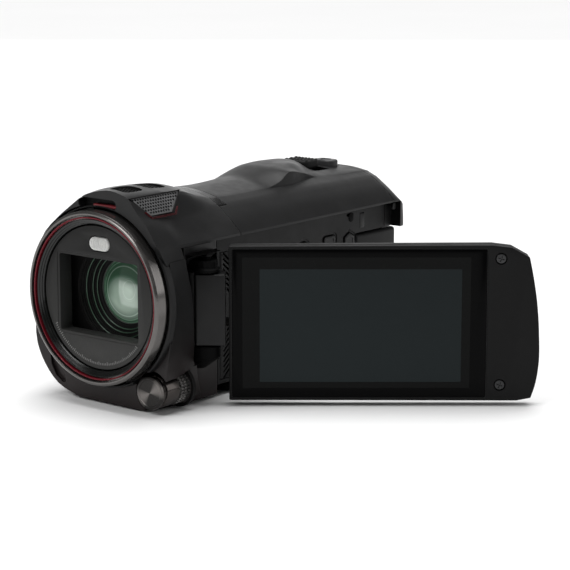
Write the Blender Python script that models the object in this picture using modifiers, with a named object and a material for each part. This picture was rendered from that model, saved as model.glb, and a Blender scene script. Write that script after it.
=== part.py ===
"""Hand-held camcorder, built from named sub-parts.

Frame: the origin is the middle of the flat base, +Z is up, -Y is the way the lens looks,
+X is the side with the hinged screen. Lengths below are in millimetres.
"""
import math

import bmesh
import bpy
from mathutils import Matrix, Vector

MM = 0.001
GAP = 0.3                      # air between neighbouring pieces
WALL = 2.0                     # thickness of the moulded covers

LENS_Z = 37.0                  # height of the lens axis
FRONT_WALL_Y = -61.5           # front face of the wall behind the bezel
FRONT_INSIDE_Y = -59.3
REAR_INSIDE_Y = 67.3

RECESS_X = 21.7                # floor of the side recess the closed screen lies in
INSIDE_LEFT_X = RECESS_X - WALL
LEDGE_Z = 54.9                 # underside of the ledge over the recess
HOUSING_END_Y = -24.5          # seam between the front housing and the covers
SIDE_SEAM_Y = -32.0            # front edge of the left cover
BACK_SEAM_Y = 62.85            # seam between the covers and the rear cover
BASE_SEAM_Z = 4.15

HINGE_X, HINGE_Y = 24.6, -40.6     # upright hinge axis of the screen
PANEL_ANGLE = 38.75                # how far the screen stands from straight out, degrees
PANEL_NEAR = 7.55                  # hinge axis to the near edge of the screen unit
PANEL_FACE = -4.0                  # local y of the screen face
PANEL_BACK = 2.5                   # local y of the back
TILT_Z = 28.0
BLOCK_LOW, BLOCK_HIGH = 20.7, 44.5

DIAL_X, DIAL_Z = 20.3, 7.5
LEVER_X, LEVER_PIVOT_Y = -2.9, 30.0

BAY_X, BAY_Y, BAY_Z = -9.9, 45.3, 45.2     # inner corner of the battery bay

BASE_SCREWS = [(13, -10), (-15, -18), (-16, 54)]                          # x, y
LCD_SCREWS = [(PANEL_NEAR + 89.2, 49.9), (PANEL_NEAR + 89.4, 7.4)]        # local x, z

LCD_OUTLINE = [                # x from the near edge, z
    (0.0, 2.2), (0.0, 54.0), (86.3, 54.4), (92.7, 53.6), (98.6, 50.3), (99.6, 45.6),
    (101.2, 36.1), (102.2, 23.7), (102.3, 15.3), (101.2, 7.5), (99.8, 2.9), (95.0, 2.0),
]

# Body sections: y, then the outline from the left foot over the top to the right foot.
SECTIONS = [
    (-66.0, [(12, 1.2), (20, 2.2), (24.5, 8), (28, 20), (29.8, 37), (27.9, 50), (26.6, 56),
             (22, 62.5), (18.2, 66.2), (14.2, 70.6), (12.6, 71.7), (5.9, 73), (-0.3, 72.2),
             (-5.8, 70.5), (-11.3, 66.9), (-25.6, 55), (-29, 50.9), (-32.3, 38.9),
             (-32.6, 28), (-32.3, 16.6), (-28.8, 10.2), (-22.8, 4.6), (-13, 1.6)]),
    (-58.0, [(14, 0.2), (20.5, 1.4), (24.6, 8), (27.2, 22), (28.4, 37), (27.2, 50), (26.3, 56),
             (22.4, 61), (18.6, 64.6), (14.4, 70.8), (13, 71.6), (5.5, 73), (-1, 72.6),
             (-8, 70.6), (-15, 65), (-25.2, 56.2), (-29.4, 50.4), (-32.4, 38.5),
             (-32.8, 28), (-32.4, 16.8), (-28.9, 9.4), (-22.8, 3.4), (-14, 0.2)]),
    (-50.0, [(15, 0), (21, 1.2), (23.6, 8), (25.8, 22), (26.8, 37), (26.3, 50), (26, 55.8),
             (21.5, 60), (18.2, 63.8), (14.2, 70.4), (13, 71.3), (5.5, 72.6), (-1, 72.4),
             (-9, 70.3), (-16.5, 64.5), (-25, 57), (-29.5, 50), (-32.4, 38),
             (-32.4, 28), (-31.2, 17.2), (-27.4, 8.4), (-21.4, 2.4), (-13.5, 0)]),
    (-40.0, [(15, 0), (21.4, 1.2), (22.4, 8), (24, 22), (25.5, 37), (26, 50), (26, 55.7),
             (21.3, 60.2), (17.6, 63.8), (14, 69.2), (12.8, 70.4), (5.5, 71.8), (-1, 71.8),
             (-9.5, 69.6), (-17, 64), (-24.8, 57.3), (-29.3, 50), (-32.4, 38),
             (-32.1, 28), (-30, 18), (-26.3, 8), (-20.6, 2.2), (-13.6, 0)]),
    (-30.0, [(15, 0), (21.6, 1.3), (22.4, 8), (23.6, 22), (25.2, 37), (26, 50), (26, 55.7),
             (21, 60.3), (16.6, 64), (13.4, 66.8), (12.4, 67.6), (5.5, 69.2), (-1, 69.4),
             (-10, 67.8), (-17.5, 63.8), (-24.6, 57.5), (-29, 50), (-32.4, 38),
             (-32, 28), (-29.6, 18), (-26, 8), (-20.5, 2), (-14, 0)]),
    (-22.0, [(15, 0), (21.4, 1.3), (22.4, 8), (23.6, 22), (25.2, 37), (26, 50), (26, 55.7),
             (21, 60.3), (16, 64), (12.8, 65.6), (12.2, 65.9), (5.5, 67.5), (-1, 68.1),
             (-10, 67), (-17.8, 63.5), (-24.6, 57.5), (-29.1, 50), (-32.6, 38),
             (-32.2, 28), (-29.8, 18), (-26, 8), (-20.5, 2), (-14, 0)]),
    (-8.0, [(15, 0), (21.4, 1.3), (22.4, 8), (23.6, 22), (25.2, 37), (26, 50), (26, 55.7),
            (21, 60.3), (15.9, 64), (12.7, 65.4), (12.2, 65.6), (5.5, 67), (-1, 67.7),
            (-10, 66.6), (-18, 63), (-24.8, 57.5), (-29.4, 50), (-33.2, 38),
            (-32.8, 28), (-30.2, 18), (-26, 8), (-20.5, 2), (-14, 0)]),
    (6.0, [(15, 0), (21.4, 1.3), (22.4, 8), (23.6, 22), (25.2, 37), (26, 50), (26, 55.7),
           (21, 60.3), (15.8, 64), (12.7, 65.4), (12.2, 65.7), (5.5, 67.3), (-1, 68),
           (-10, 67.1), (-18, 63.4), (-25, 57.5), (-29.7, 50), (-33.4, 38),
           (-33, 28), (-30.4, 18), (-26, 8), (-20.5, 2), (-14, 0)]),
    (13.0, [(15, 0), (21.4, 1.3), (22.4, 8), (23.6, 22), (25.2, 37), (26, 50), (26, 55.7),
            (21, 60.3), (15.8, 64), (12.8, 65.4), (12.4, 67), (6, 69), (-1, 69.6),
            (-10, 69), (-18, 64.4), (-25.2, 57.6), (-29.8, 50), (-33.4, 38),
            (-33, 28), (-30.4, 18), (-26, 8), (-20.5, 2), (-14, 0)]),
    (18.8, [(15, 0), (21.4, 1.3), (22.4, 8), (23.6, 22), (25.2, 37), (26, 50), (26, 55.7),
            (21, 60.3), (15.8, 64), (12.9, 65.4), (12.5, 70), (6, 70.7), (-1, 70.9),
            (-10, 70.4), (-18.2, 65), (-25.4, 57.8), (-29.9, 50), (-33.4, 38),
            (-33, 28), (-30.4, 18), (-26, 8), (-20.5, 2), (-14, 0)]),
    (28.0, [(15, 0), (21.4, 1.3), (22.4, 8), (23.6, 22), (25.2, 37), (26, 50), (26, 55.7),
            (21, 60.3), (15.8, 64), (11.4, 65.7), (11, 68.3), (6, 71), (-1, 71.2),
            (-10, 70.8), (-18.2, 65.2), (-25.5, 57.8), (-29.9, 50), (-33.3, 38),
            (-32.9, 28), (-30.3, 18), (-26, 8), (-20.5, 2), (-14, 0)]),
    (37.0, [(15, 0), (21.4, 1.3), (22.4, 8), (23.6, 22), (25.2, 37), (26, 50), (26, 55.7),
            (21, 60.3), (15.8, 63.9), (10.4, 65.8), (9.6, 66.2), (6, 68.2), (-1, 70.8),
            (-10, 70.3), (-18.2, 65), (-25.4, 57.7), (-29.7, 50), (-33, 38),
            (-32.6, 28), (-30.1, 18), (-26, 8), (-20.5, 2), (-14, 0)]),
    (44.0, [(15, 0), (21.4, 1.3), (22.4, 8), (23.6, 22), (25.2, 37), (26, 50), (26, 55.7),
            (21, 60.3), (15.8, 63.8), (11.4, 65.4), (10.6, 65.7), (5.8, 66.6), (-1, 68.4),
            (-10, 68.4), (-18.1, 64.4), (-25.2, 57.5), (-29.5, 50), (-32.8, 38),
            (-32.4, 28), (-30, 18), (-26, 8), (-20.5, 2), (-14, 0)]),
    (52.0, [(15, 0), (21.4, 1.3), (22.4, 8), (23.6, 22), (25.2, 37), (26, 50), (26, 55.7),
            (21, 60.3), (15.7, 63.8), (12, 65.1), (11.4, 65.4), (5.5, 66.5), (-1, 67),
            (-10, 66.6), (-18, 63), (-24.9, 57.2), (-29.2, 50), (-32.4, 38),
            (-32, 28), (-29.8, 18), (-26, 8), (-20.5, 2), (-14, 0)]),
    (62.0, [(15, 0), (21.4, 1.3), (22.4, 8), (23.6, 22), (25.2, 37), (26, 50), (26, 55.6),
            (21, 60.1), (15.6, 63.7), (12, 65), (11.4, 65.3), (5.5, 66.2), (-1, 66.5),
            (-10, 65.8), (-18, 62.5), (-24.5, 56.8), (-28.8, 49.6), (-31.8, 38),
            (-31.4, 28), (-29.2, 18), (-25.6, 8), (-20.3, 2), (-14, 0)]),
    (66.6, [(15, 0.3), (21.5, 1.8), (22.4, 8), (23.6, 22), (25.2, 37), (26, 48), (26, 55.2),
            (20.8, 59.2), (15.2, 63), (12, 64.3), (11.2, 64.7), (5.5, 65.6), (-1, 65.9),
            (-10, 65.2), (-17.6, 62), (-23.8, 56.4), (-28, 49.2), (-30.8, 38),
            (-30.4, 28), (-28.4, 18), (-25, 8.4), (-19.8, 2.6), (-13, 0.4)]),
    (69.3, [(14, 1.5), (20, 3), (21.8, 8.6), (23, 22), (24.8, 37), (25.5, 46), (25.2, 53.4),
            (19.8, 57.4), (14.4, 61), (11.6, 62.3), (10.8, 62.7), (5.5, 63.6), (-1, 63.9),
            (-10, 63.4), (-16.6, 60.6), (-22.4, 55.4), (-26.4, 48.4), (-29, 38),
            (-28.6, 28), (-26.8, 18.6), (-23.4, 9.4), (-18.6, 4), (-12.4, 1.8)]),
]

PARTS = None
CUTTERS = None
MATERIALS = {}


# ---------------------------------------------------------------- materials

def material(name, colour, roughness, metallic=0.0):
    if name in MATERIALS:
        return MATERIALS[name]
    made = bpy.data.materials.new(name)
    made.use_nodes = True
    shader = made.node_tree.nodes["Principled BSDF"]
    shader.inputs["Base Color"].default_value = (*colour, 1.0)
    shader.inputs["Roughness"].default_value = roughness
    shader.inputs["Metallic"].default_value = metallic
    MATERIALS[name] = made
    return made


def shell_black():
    return material("shell_black", (0.020, 0.020, 0.021), 0.55)


def satin_grey():
    return material("satin_grey", (0.055, 0.055, 0.058), 0.45)


def gloss_black():
    return material("gloss_black", (0.008, 0.008, 0.009), 0.12)


def gunmetal():
    return material("gunmetal", (0.16, 0.155, 0.15), 0.3, 0.9)


def accent_red():
    return material("accent_red", (0.42, 0.02, 0.03), 0.3, 0.5)


def lamp_white():
    return material("lamp_white", (0.75, 0.76, 0.74), 0.35)


def lens_glass():
    return material("lens_glass", (0.05, 0.16, 0.11), 0.05)


def screen_dark():
    return material("screen_dark", (0.02, 0.028, 0.036), 0.15)


def steel():
    return material("steel", (0.45, 0.45, 0.46), 0.35, 1.0)


def brass():
    return material("brass", (0.6, 0.45, 0.2), 0.35, 1.0)


def rubber_black():
    return material("rubber_black", (0.015, 0.015, 0.015), 0.8)


def webbing():
    return material("webbing", (0.018, 0.018, 0.02), 0.9)


def board_green():
    return material("board_green", (0.02, 0.12, 0.06), 0.5)


# ---------------------------------------------------------------- helpers

def collection(name):
    made = bpy.data.collections.new(name)
    bpy.context.scene.collection.children.link(made)
    return made


def add_object(name, mesh, look=None):
    """A part when it has a look, otherwise a hidden cutter."""
    made = bpy.data.objects.new(name, mesh)
    if look is None:
        CUTTERS.objects.link(made)
        made.hide_render = True
        made.display_type = "WIRE"
    else:
        PARTS.objects.link(made)
        mesh.materials.clear()
        mesh.materials.append(look)
    return made


def finish_mesh(name, builder):
    mesh = bpy.data.meshes.new(name)
    bmesh.ops.recalc_face_normals(builder, faces=builder.faces)
    if builder.calc_volume(signed=True) < 0:
        bmesh.ops.reverse_faces(builder, faces=builder.faces)
    builder.to_mesh(mesh)
    builder.free()
    return mesh


def set_pivot(thing, pivot):
    """Put the origin of an object whose mesh is in world place on its joint axis."""
    offset = Vector(pivot) * MM
    thing.data.transform(Matrix.Translation(-offset))
    thing.location = offset
    return thing


def box(name, low, high, look=None):
    builder = bmesh.new()
    bmesh.ops.create_cube(builder, size=1.0)
    low = Vector(low)
    high = Vector(high)
    for vertex in builder.verts:
        for axis in range(3):
            vertex.co[axis] = (low[axis] if vertex.co[axis] < 0 else high[axis]) * MM
    return add_object(name, finish_mesh(name, builder), look)


def cylinder(name, start, end, radius, look=None, segments=24, end_radius=None):
    start = Vector(start)
    end = Vector(end)
    along = end - start
    turn = along.to_track_quat("Z", "Y").to_matrix().to_4x4()
    place = Matrix.Translation((start + end) / 2 * MM) @ turn
    builder = bmesh.new()
    bmesh.ops.create_cone(
        builder, cap_ends=True, segments=segments, radius1=radius * MM,
        radius2=(radius if end_radius is None else end_radius) * MM,
        depth=along.length * MM, matrix=place)
    return add_object(name, finish_mesh(name, builder), look)


def prism(name, outline, plane, low, high, look=None):
    """A flat outline given in the named plane, extruded from low to high across it."""
    curve = bpy.data.curves.new(name + "_outline", "CURVE")
    curve.dimensions = "2D"
    curve.fill_mode = "BOTH"
    curve.extrude = abs(high - low) / 2 * MM
    spline = curve.splines.new("POLY")
    spline.points.add(len(outline) - 1)
    for point, (u, v) in zip(spline.points, outline):
        point.co = (u * MM, v * MM, 0.0, 1.0)
    spline.use_cyclic_u = True
    holder = bpy.data.objects.new(name + "_outline", curve)
    bpy.context.scene.collection.objects.link(holder)
    graph = bpy.context.evaluated_depsgraph_get()
    flat = bpy.data.meshes.new_from_object(holder.evaluated_get(graph))
    bpy.data.objects.remove(holder)
    bpy.data.curves.remove(curve)
    builder = bmesh.new()
    builder.from_mesh(flat)
    bpy.data.meshes.remove(flat)
    bmesh.ops.remove_doubles(builder, verts=builder.verts, dist=0.000001)
    middle = (low + high) / 2 * MM
    for vertex in builder.verts:
        u, v, w = vertex.co
        w += middle
        if plane == "XY":
            vertex.co = (u, v, w)
        elif plane == "YZ":
            vertex.co = (w, u, v)
        else:
            vertex.co = (u, w, v)
    return add_object(name, finish_mesh(name, builder), look)


def turned(name, centre, profile, look=None, steps=48):
    """A turned piece about a line along Y through centre (x, z).

    profile lists (radius, y) down the outer side from the front to the back, then forward
    again along the inner side if the piece is hollow; a solid piece starts and ends at radius 0.
    """
    solid = profile[0][0] == 0 and profile[-1][0] == 0
    mesh = bpy.data.meshes.new(name)
    points = [(radius * MM, 0.0, -y * MM) for radius, y in profile]
    edges = [(i, i + 1) for i in range(len(points) - 1)]
    if not solid:
        edges.append((len(points) - 1, 0))
    mesh.from_pydata(points, edges, [])
    made = add_object(name, mesh, look)
    made.location = (centre[0] * MM, 0.0, centre[1] * MM)
    made.rotation_euler = (math.radians(90), 0.0, 0.0)
    screw = made.modifiers.new("turn", "SCREW")
    screw.axis = "Z"
    screw.angle = math.tau
    screw.steps = steps
    screw.render_steps = steps
    screw.use_merge_vertices = True
    screw.merge_threshold = 0.000005
    screw.use_smooth_shade = False
    return made


def boolean(thing, other, operation="DIFFERENCE"):
    step = thing.modifiers.new(operation.lower(), "BOOLEAN")
    step.operation = operation
    step.solver = "EXACT"
    step.object = other
    return thing


def bevel(thing, width, segments=1, angle=40):
    step = thing.modifiers.new("edge", "BEVEL")
    step.width = width * MM
    step.segments = segments
    step.limit_method = "ANGLE"
    step.angle_limit = math.radians(angle)
    return thing


def inset(outline, distance):
    """The outline moved inwards by a distance; each corner moves along its bisector."""
    count = len(outline)
    area = sum(outline[i][0] * outline[(i + 1) % count][1]
               - outline[(i + 1) % count][0] * outline[i][1] for i in range(count))
    sign = 1.0 if area > 0 else -1.0
    moved = []
    for i, (x, z) in enumerate(outline):
        before = Vector(outline[i]) - Vector(outline[i - 1])
        after = Vector(outline[(i + 1) % count]) - Vector(outline[i])
        first = Vector((-before.y, before.x)).normalized() * sign
        second = Vector((-after.y, after.x)).normalized() * sign
        bisector = (first + second).normalized()
        reach = min(distance / max(bisector.dot(first), 0.4), distance * 1.6)
        moved.append((x + bisector.x * reach, z + bisector.y * reach))
    return moved


def section_at(y):
    """The body outline at a station, interpolated between the listed sections."""
    for (y0, first), (y1, second) in zip(SECTIONS, SECTIONS[1:]):
        if y <= y1:
            share = (y - y0) / (y1 - y0)
            return [(a[0] + (b[0] - a[0]) * share, a[1] + (b[1] - a[1]) * share)
                    for a, b in zip(first, second)]
    return SECTIONS[-1][1]


def loft(name, rows, look=None):
    """A closed skin through outlines of equal length; rows are (y, outline)."""
    builder = bmesh.new()
    rings = [[builder.verts.new((x * MM, y * MM, z * MM)) for x, z in outline]
             for y, outline in rows]
    for first, second in zip(rings, rings[1:]):
        for i in range(len(first)):
            j = (i + 1) % len(first)
            builder.faces.new((first[i], first[j], second[j], second[i]))
    bmesh.ops.triangulate(builder, faces=builder.faces)
    builder.faces.new(rings[0])
    builder.faces.new(list(reversed(rings[-1])))
    return add_object(name, finish_mesh(name, builder), look)


def body_skin(name, look=None):
    return loft(name, SECTIONS, look)


def body_hollow(name):
    """The inside of the body; behind the lens wall its left side is flat at the recess."""
    stations = [FRONT_INSIDE_Y, -56.6, -55.2, -50, -40, -30, -22, -8, 6, 13, 18.8, 28, 37, 44,
                52, 62, REAR_INSIDE_Y]
    rows = []
    for y in stations:
        outline = inset(section_at(y), WALL)
        if y > -56:
            outline = [(min(x, INSIDE_LEFT_X), z) for x, z in outline]
        rows.append((y, outline))
    return loft(name, rows)


def on_hinge(thing):
    """Stand a piece built about the hinge axis at the angle of the open screen."""
    thing.location = (HINGE_X * MM, HINGE_Y * MM, 0.0)
    thing.rotation_euler = (0.0, 0.0, math.radians(PANEL_ANGLE))
    return thing


def stadium(length, width, steps=6):
    """A rounded bar outline about the origin, long side along the first axis."""
    radius = width / 2
    reach = length / 2 - radius
    points = []
    for side in (1, -1):
        for i in range(steps + 1):
            angle = math.radians(-90 + 180 * i / steps)
            points.append((side * (reach + radius * math.cos(angle)),
                           side * radius * math.sin(angle)))
    return points


def rounded_box(half_u, half_v, radius, steps=3):
    points = []
    for cu, cv, start in ((1, 1, 0), (-1, 1, 90), (-1, -1, 180), (1, -1, 270)):
        for i in range(steps + 1):
            angle = math.radians(start + 90 * i / steps)
            points.append((cu * (half_u - radius) + radius * math.cos(angle),
                           cv * (half_v - radius) + radius * math.sin(angle)))
    return points


def shifted(outline, u, v):
    return [(a + u, b + v) for a, b in outline]


# ---------------------------------------------------------------- shared cutters

def shared_cutters():
    cut = {}
    cut["dial_boss"] = cylinder("cut_dial_boss", (DIAL_X, -75, DIAL_Z), (DIAL_X, -47.7, DIAL_Z),
                                8.7, segments=32)
    cut["hollow"] = body_hollow("cut_hollow")
    boolean(cut["hollow"], cut["dial_boss"])
    cut["recess"] = prism("cut_recess", [
        (-54.8, LEDGE_Z), (-52.8, 50), (-50.6, 40.3), (-48.0, 24), (-43.0, 9), (-39.0, -2),
        (66.9, -2), (66.9, LEDGE_Z)], "YZ", RECESS_X, 45)
    cut["bay"] = box("cut_bay", (BAY_X - 0.1, BAY_Y + 0.1, -6), (45, 90, BAY_Z + 0.2))
    return cut


def cover(name, cut, low, high):
    """A piece of the hollow moulded body inside a box."""
    made = body_skin(name, shell_black())
    region = box("region_" + name, low, high)
    boolean(made, region, "INTERSECT")
    boolean(made, cut["hollow"])
    boolean(made, cut["recess"])
    return made


# ---------------------------------------------------------------- covers

def front_housing(cut):
    made = cover("front_housing", cut, (-60, -80, -5), (60, HOUSING_END_Y, 90))
    trims = [
        cylinder("cut_bezel_seat", (0, -80, LENS_Z), (0, FRONT_WALL_Y, LENS_Z), 30.6, segments=40),
        cylinder("cut_lens_hole", (0, -80, LENS_Z), (0, -50, LENS_Z), 26.1, segments=40),
        prism("cut_low_front", [(-80, -5), (-62.6, -5), (-62.6, 49), (-66.4, 57.5), (-80, 57.5)],
              "YZ", -60, 60),
        prism("cut_brow_slot", shifted(rounded_box(8.4, 1.8, 1.2), 0.0, 68.1),
              "XZ", -80, -62.4),
        cylinder("cut_dial_well", (DIAL_X, -80, DIAL_Z), (DIAL_X, -49.2, DIAL_Z), 7.2, segments=32),
        cylinder("cut_dial_shaft", (DIAL_X, -52, DIAL_Z), (DIAL_X, -43, DIAL_Z), 1.45, segments=12),
        box("cut_hinge_window", (17.9, -47.3, 14), (40, -20, 51)),
        box("cut_side_seam", (15, SIDE_SEAM_Y, -1), (45, -20, LEDGE_Z)),
        box("cut_mic_tray", (-5.4, -63.3, 60), (11.2, -37.4, 70.3)),
        prism("cut_mic_window_a", shifted(rounded_box(3.9, 4.6, 2.4), 3.6, -57.6), "XY", 60, 90),
        prism("cut_mic_window_b", shifted(rounded_box(3.9, 4.6, 2.4), 3.0, -45.2), "XY", 60, 90),
        mic_side_window("cut_mic_side", 0.0, -6, 9),
        box("cut_strap_front", (-45, -39.4, 21.7), (-27, -34.6, 51.3)),
    ]
    for trim in trims:
        boolean(made, trim)
    return made


def mic_side_window(name, smaller, low, high, look=None):
    """The four-sided sound window on the shoulder beside the microphone block."""
    outline = [(-65.2 + smaller, 3.7 - smaller), (-42.0 - smaller, 3.7 - smaller),
               (-47.4 - smaller * 0.6, -3.2 + smaller), (-58.6 + smaller * 0.6, -3.2 + smaller)]
    made = prism(name, outline, "YZ", low, high, look)
    lean = Matrix.Rotation(math.radians(-34), 4, "Y")
    made.data.transform(lean)
    made.location = Vector((16.4, 0, 67.6)) * MM
    return made


def top_cover(cut):
    made = cover("top_cover", cut, (-60, HOUSING_END_Y + GAP, LEDGE_Z), (60, BACK_SEAM_Y - GAP, 90))
    trims = [
        box("cut_band_seat", (-14.3, -40, 58), (16.6, -20.3, 90)),
        box("cut_lever_slot", (-11.0, 38.0, 60), (5.2, 51.2, 90)),
        prism("cut_photo_hole", shifted(stadium(10.3, 6.7), -1.5, 57.5), "XY", 55, 90),
    ]
    for trim in trims:
        boolean(made, trim)
    return made


def top_band(cut):
    made = body_skin("top_band", gloss_black())
    region = box("region_top_band", (-14, HOUSING_END_Y + GAP, 60), (16.3, -20.6, 90))
    boolean(made, region, "INTERSECT")
    return boolean(made, cut["hollow"])


def side_button_holes():
    holes = [
        prism("cut_wireless_hole", shifted(rounded_box(3.65, 3.65, 1.4), 29.7, 43.2), "YZ", 15, 30),
        prism("cut_mode_hole", hexagon(41.4, 42.9, 3.75), "YZ", 15, 30),
        cylinder("cut_power_hole", (15, 15, 43.4), (30, 15, 43.4), 3.35, segments=24),
        box("cut_louvre_hole", (15, -30.4, 5.6), (30, -20.6, 49.4)),
        box("cut_card_hole", (15, -14.6, 6.3), (30, 5.0, 18.1)),
        box("cut_terminal_hole", (15, 9.7, 7.7), (30, 31.0, 30.3)),
    ]
    for row in range(3):
        for column in range(3):
            y = -4.6 + column * 2.4
            z = 33.6 + row * 2.4
            holes.append(cylinder("cut_sound_%d_%d" % (row, column), (15, y, z), (30, y, z), 0.6,
                                  segments=8))
    return holes


def hexagon(u, v, radius):
    return [(u + radius * math.cos(math.radians(30 + 60 * i)),
             v + radius * math.sin(math.radians(30 + 60 * i))) for i in range(6)]


def left_cover(cut):
    made = cover("left_cover", cut, (15, SIDE_SEAM_Y + GAP, BASE_SEAM_Z + GAP / 2),
                 (60, BACK_SEAM_Y - GAP, LEDGE_Z - GAP))
    boolean(made, cut["bay"])
    for hole in side_button_holes():
        boolean(made, hole)
    return made


def right_cover(cut):
    made = cover("right_cover", cut, (-60, HOUSING_END_Y + GAP, BASE_SEAM_Z + GAP / 2),
                 (0, BACK_SEAM_Y - GAP, LEDGE_Z - GAP))
    boolean(made, box("cut_strap_rear", (-45, 47.6, 21.7), (-27, 52.4, 51.3)))
    return made


def base_cover(cut):
    made = cover("base_cover", cut, (-60, HOUSING_END_Y + GAP, -5),
                 (60, BACK_SEAM_Y - GAP, BASE_SEAM_Z - GAP / 2))
    boolean(made, cut["bay"])
    boolean(made, cylinder("cut_bush_hole", (0, 14, -5), (0, 14, 5), 5.35, segments=24))
    for i, (x, y) in enumerate(BASE_SCREWS):
        boolean(made, cylinder("cut_screw_head_%d" % i, (x, y, -5), (x, y, 1.4), 2.25, segments=16))
        boolean(made, cylinder("cut_screw_way_%d" % i, (x, y, -5), (x, y, 5), 1.35, segments=12))
    return made


def rear_cover(cut):
    made = cover("rear_cover", cut, (-60, BACK_SEAM_Y, -5), (60, 90, 90))
    boolean(made, cut["bay"])
    boolean(made, cylinder("cut_record_hole", (-19.5, 60, 41), (-19.5, 90, 41), 6.35, segments=32))
    boolean(made, box("cut_latch_slot", (-18.6, 60, 19.6), (-12.6, 90, 28.4)))
    return made


# ---------------------------------------------------------------- lens end

def lens_bezel():
    profile = [(27.6, -69.5), (28.4, -69.5), (29.0, -68.9), (29.4, -63.7), (29.4, -62.3),
               (25.8, -62.3), (25.8, -59.9), (24.3, -59.9), (24.3, -66.7), (26.3, -68.3),
               (26.3, -67.5), (27.6, -67.5)]
    return turned("lens_bezel", (0, LENS_Z), profile, gunmetal(), steps=40)


def accent_ring():
    profile = [(26.6, -68.9), (27.3, -68.9), (27.3, -67.8), (26.6, -67.8)]
    return turned("accent_ring", (0, LENS_Z), profile, accent_red(), steps=36)


def lens_mask():
    made = cylinder("lens_mask", (0, -66.4, LENS_Z), (0, -65.2, LENS_Z), 23.9, satin_grey(),
                    segments=40)
    tunnel = box("add_tunnel", (-18.6, -65.6, LENS_Z - 14.1), (18.6, -60.6, LENS_Z + 14.1))
    window = box("cut_window", (-17.5, -80, LENS_Z - 13), (17.5, -50, LENS_Z + 13))
    lamp = prism("cut_lamp_hole", shifted(stadium(9.5, 5.2), 1.1, 55.0), "XZ", -80, -50)
    boolean(made, tunnel, "UNION")
    boolean(made, window)
    return boolean(made, lamp)


def video_lamp():
    made = prism("video_lamp", shifted(stadium(8.8, 4.5), 1.1, 55.0), "XZ", -66.8, -63.4,
                 lamp_white())
    return bevel(made, 0.4)


def lens_barrel():
    profile = [(25.6, -57.6), (25.6, -57.0), (18.9, -57.0), (18.9, -55.0), (15.5, -54.0),
               (15.5, 3.5), (11.2, 3.5), (11.2, -52.6), (12.8, -53.4), (12.8, -54.6),
               (14.6, -55.0), (14.6, -56.2), (16.4, -56.6), (17.2, -57.6)]
    return turned("lens_barrel", (0, LENS_Z), profile, rubber_black(), steps=28)


def lens_element(name, radius, front, back, bulge_front, bulge_back, look):
    """A round lens with a curved face each end; bulges are the heights of the caps."""
    rings = (0.0, 0.45, 0.8, 1.0)
    profile = [(radius * r, front - bulge_front * (1 - r * r)) for r in rings]
    profile += [(radius * r, back + bulge_back * (1 - r * r)) for r in reversed(rings)]
    return turned(name, (0, LENS_Z), profile, look, steps=20)


def lens_elements():
    lens_element("front_element", 10.9, -52.0, -48.5, 2.2, 0.6, lens_glass())
    lens_element("zoom_group", 7.5, -34.0, -28.0, 1.6, 1.6, lens_glass())
    lens_element("focus_group", 6.0, -10.0, -6.0, 1.2, 1.2, lens_glass())


def lens_cover_leaf(name, side):
    """Half of the lens barrier: a disc segment that slides over the lens, here drawn back."""
    radius = 27.0
    chord = 13.9
    start = math.degrees(math.asin(chord / radius))
    outline = []
    for i in range(13):
        angle = math.radians(start + (180 - 2 * start) * i / 12)
        outline.append((radius * math.cos(angle), LENS_Z + side * radius * math.sin(angle)))
    return prism(name, outline, "XZ", -59.0, -58.0, rubber_black())


def image_sensor():
    made = box("image_sensor", (-9, 4.2, LENS_Z - 8), (9, 5.4, LENS_Z + 8), board_green())
    return boolean(made, box("add_sensor_chip", (-4, 3.8, LENS_Z - 3), (4, 4.6, LENS_Z + 3)),
                   "UNION")


def brow_accent():
    return prism("brow_accent", shifted(rounded_box(5.4, 0.5, 0.4), 2.3, 67.4), "XZ", -64.6, -62.7,
                 accent_red())


def mic_grilles():
    box("mic_grille_top", (-5.0, -62.9, 69.2), (10.8, -37.8, 69.95), steel())
    mic_side_window("mic_grille_left", 0.35, -1.2, -0.4, steel())


# ---------------------------------------------------------------- function dial

def knurled(radius, depth, count):
    points = []
    for i in range(count):
        angle = math.tau * i / count
        step = math.tau / count
        for share, reach in ((0.1, radius), (0.45, radius), (0.6, radius - depth),
                             (0.95, radius - depth)):
            points.append((reach * math.cos(angle + step * share),
                           reach * math.sin(angle + step * share)))
    return points


def function_dial():
    made = prism("function_dial", shifted(knurled(5.7, 0.35, 20), DIAL_X, DIAL_Z), "XZ",
                 -57.0, -50.2, gunmetal())
    set_pivot(made, (DIAL_X, 0, DIAL_Z))
    collar = cylinder("add_dial_collar", (DIAL_X, -62.6, DIAL_Z), (DIAL_X, -56, DIAL_Z), 5.1,
                      segments=32)
    shaft = cylinder("add_dial_shaft", (DIAL_X, -51, DIAL_Z), (DIAL_X, -44.5, DIAL_Z), 1.1,
                     segments=12)
    bore = cylinder("cut_dial_bore", (DIAL_X, -70, DIAL_Z), (DIAL_X, -54, DIAL_Z), 1.9,
                    segments=16)
    boolean(made, collar, "UNION")
    boolean(made, shaft, "UNION")
    return boolean(made, bore)


def function_button():
    profile = [(0, -64.3), (5.2, -64.3), (5.6, -63.9), (5.6, -63.2), (1.5, -63.2), (1.5, -55.2),
               (0, -55.2)]
    return turned("function_button", (DIAL_X, DIAL_Z), profile, gunmetal(), steps=24)


# ---------------------------------------------------------------- top and rear controls

def zoom_well():
    made = box("zoom_well", (-10.6, 38.4, 63.0), (4.8, 50.8, 64.2), rubber_black())
    tongue = box("add_well_tongue", (LEVER_X - 3.5, 27, 63.0), (LEVER_X + 3.5, 39, 64.2))
    post = cylinder("add_lever_post", (LEVER_X, LEVER_PIVOT_Y, 63.5),
                    (LEVER_X, LEVER_PIVOT_Y, 67.2), 1.3, segments=16)
    boolean(made, tongue, "UNION")
    return boolean(made, post, "UNION")


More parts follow.
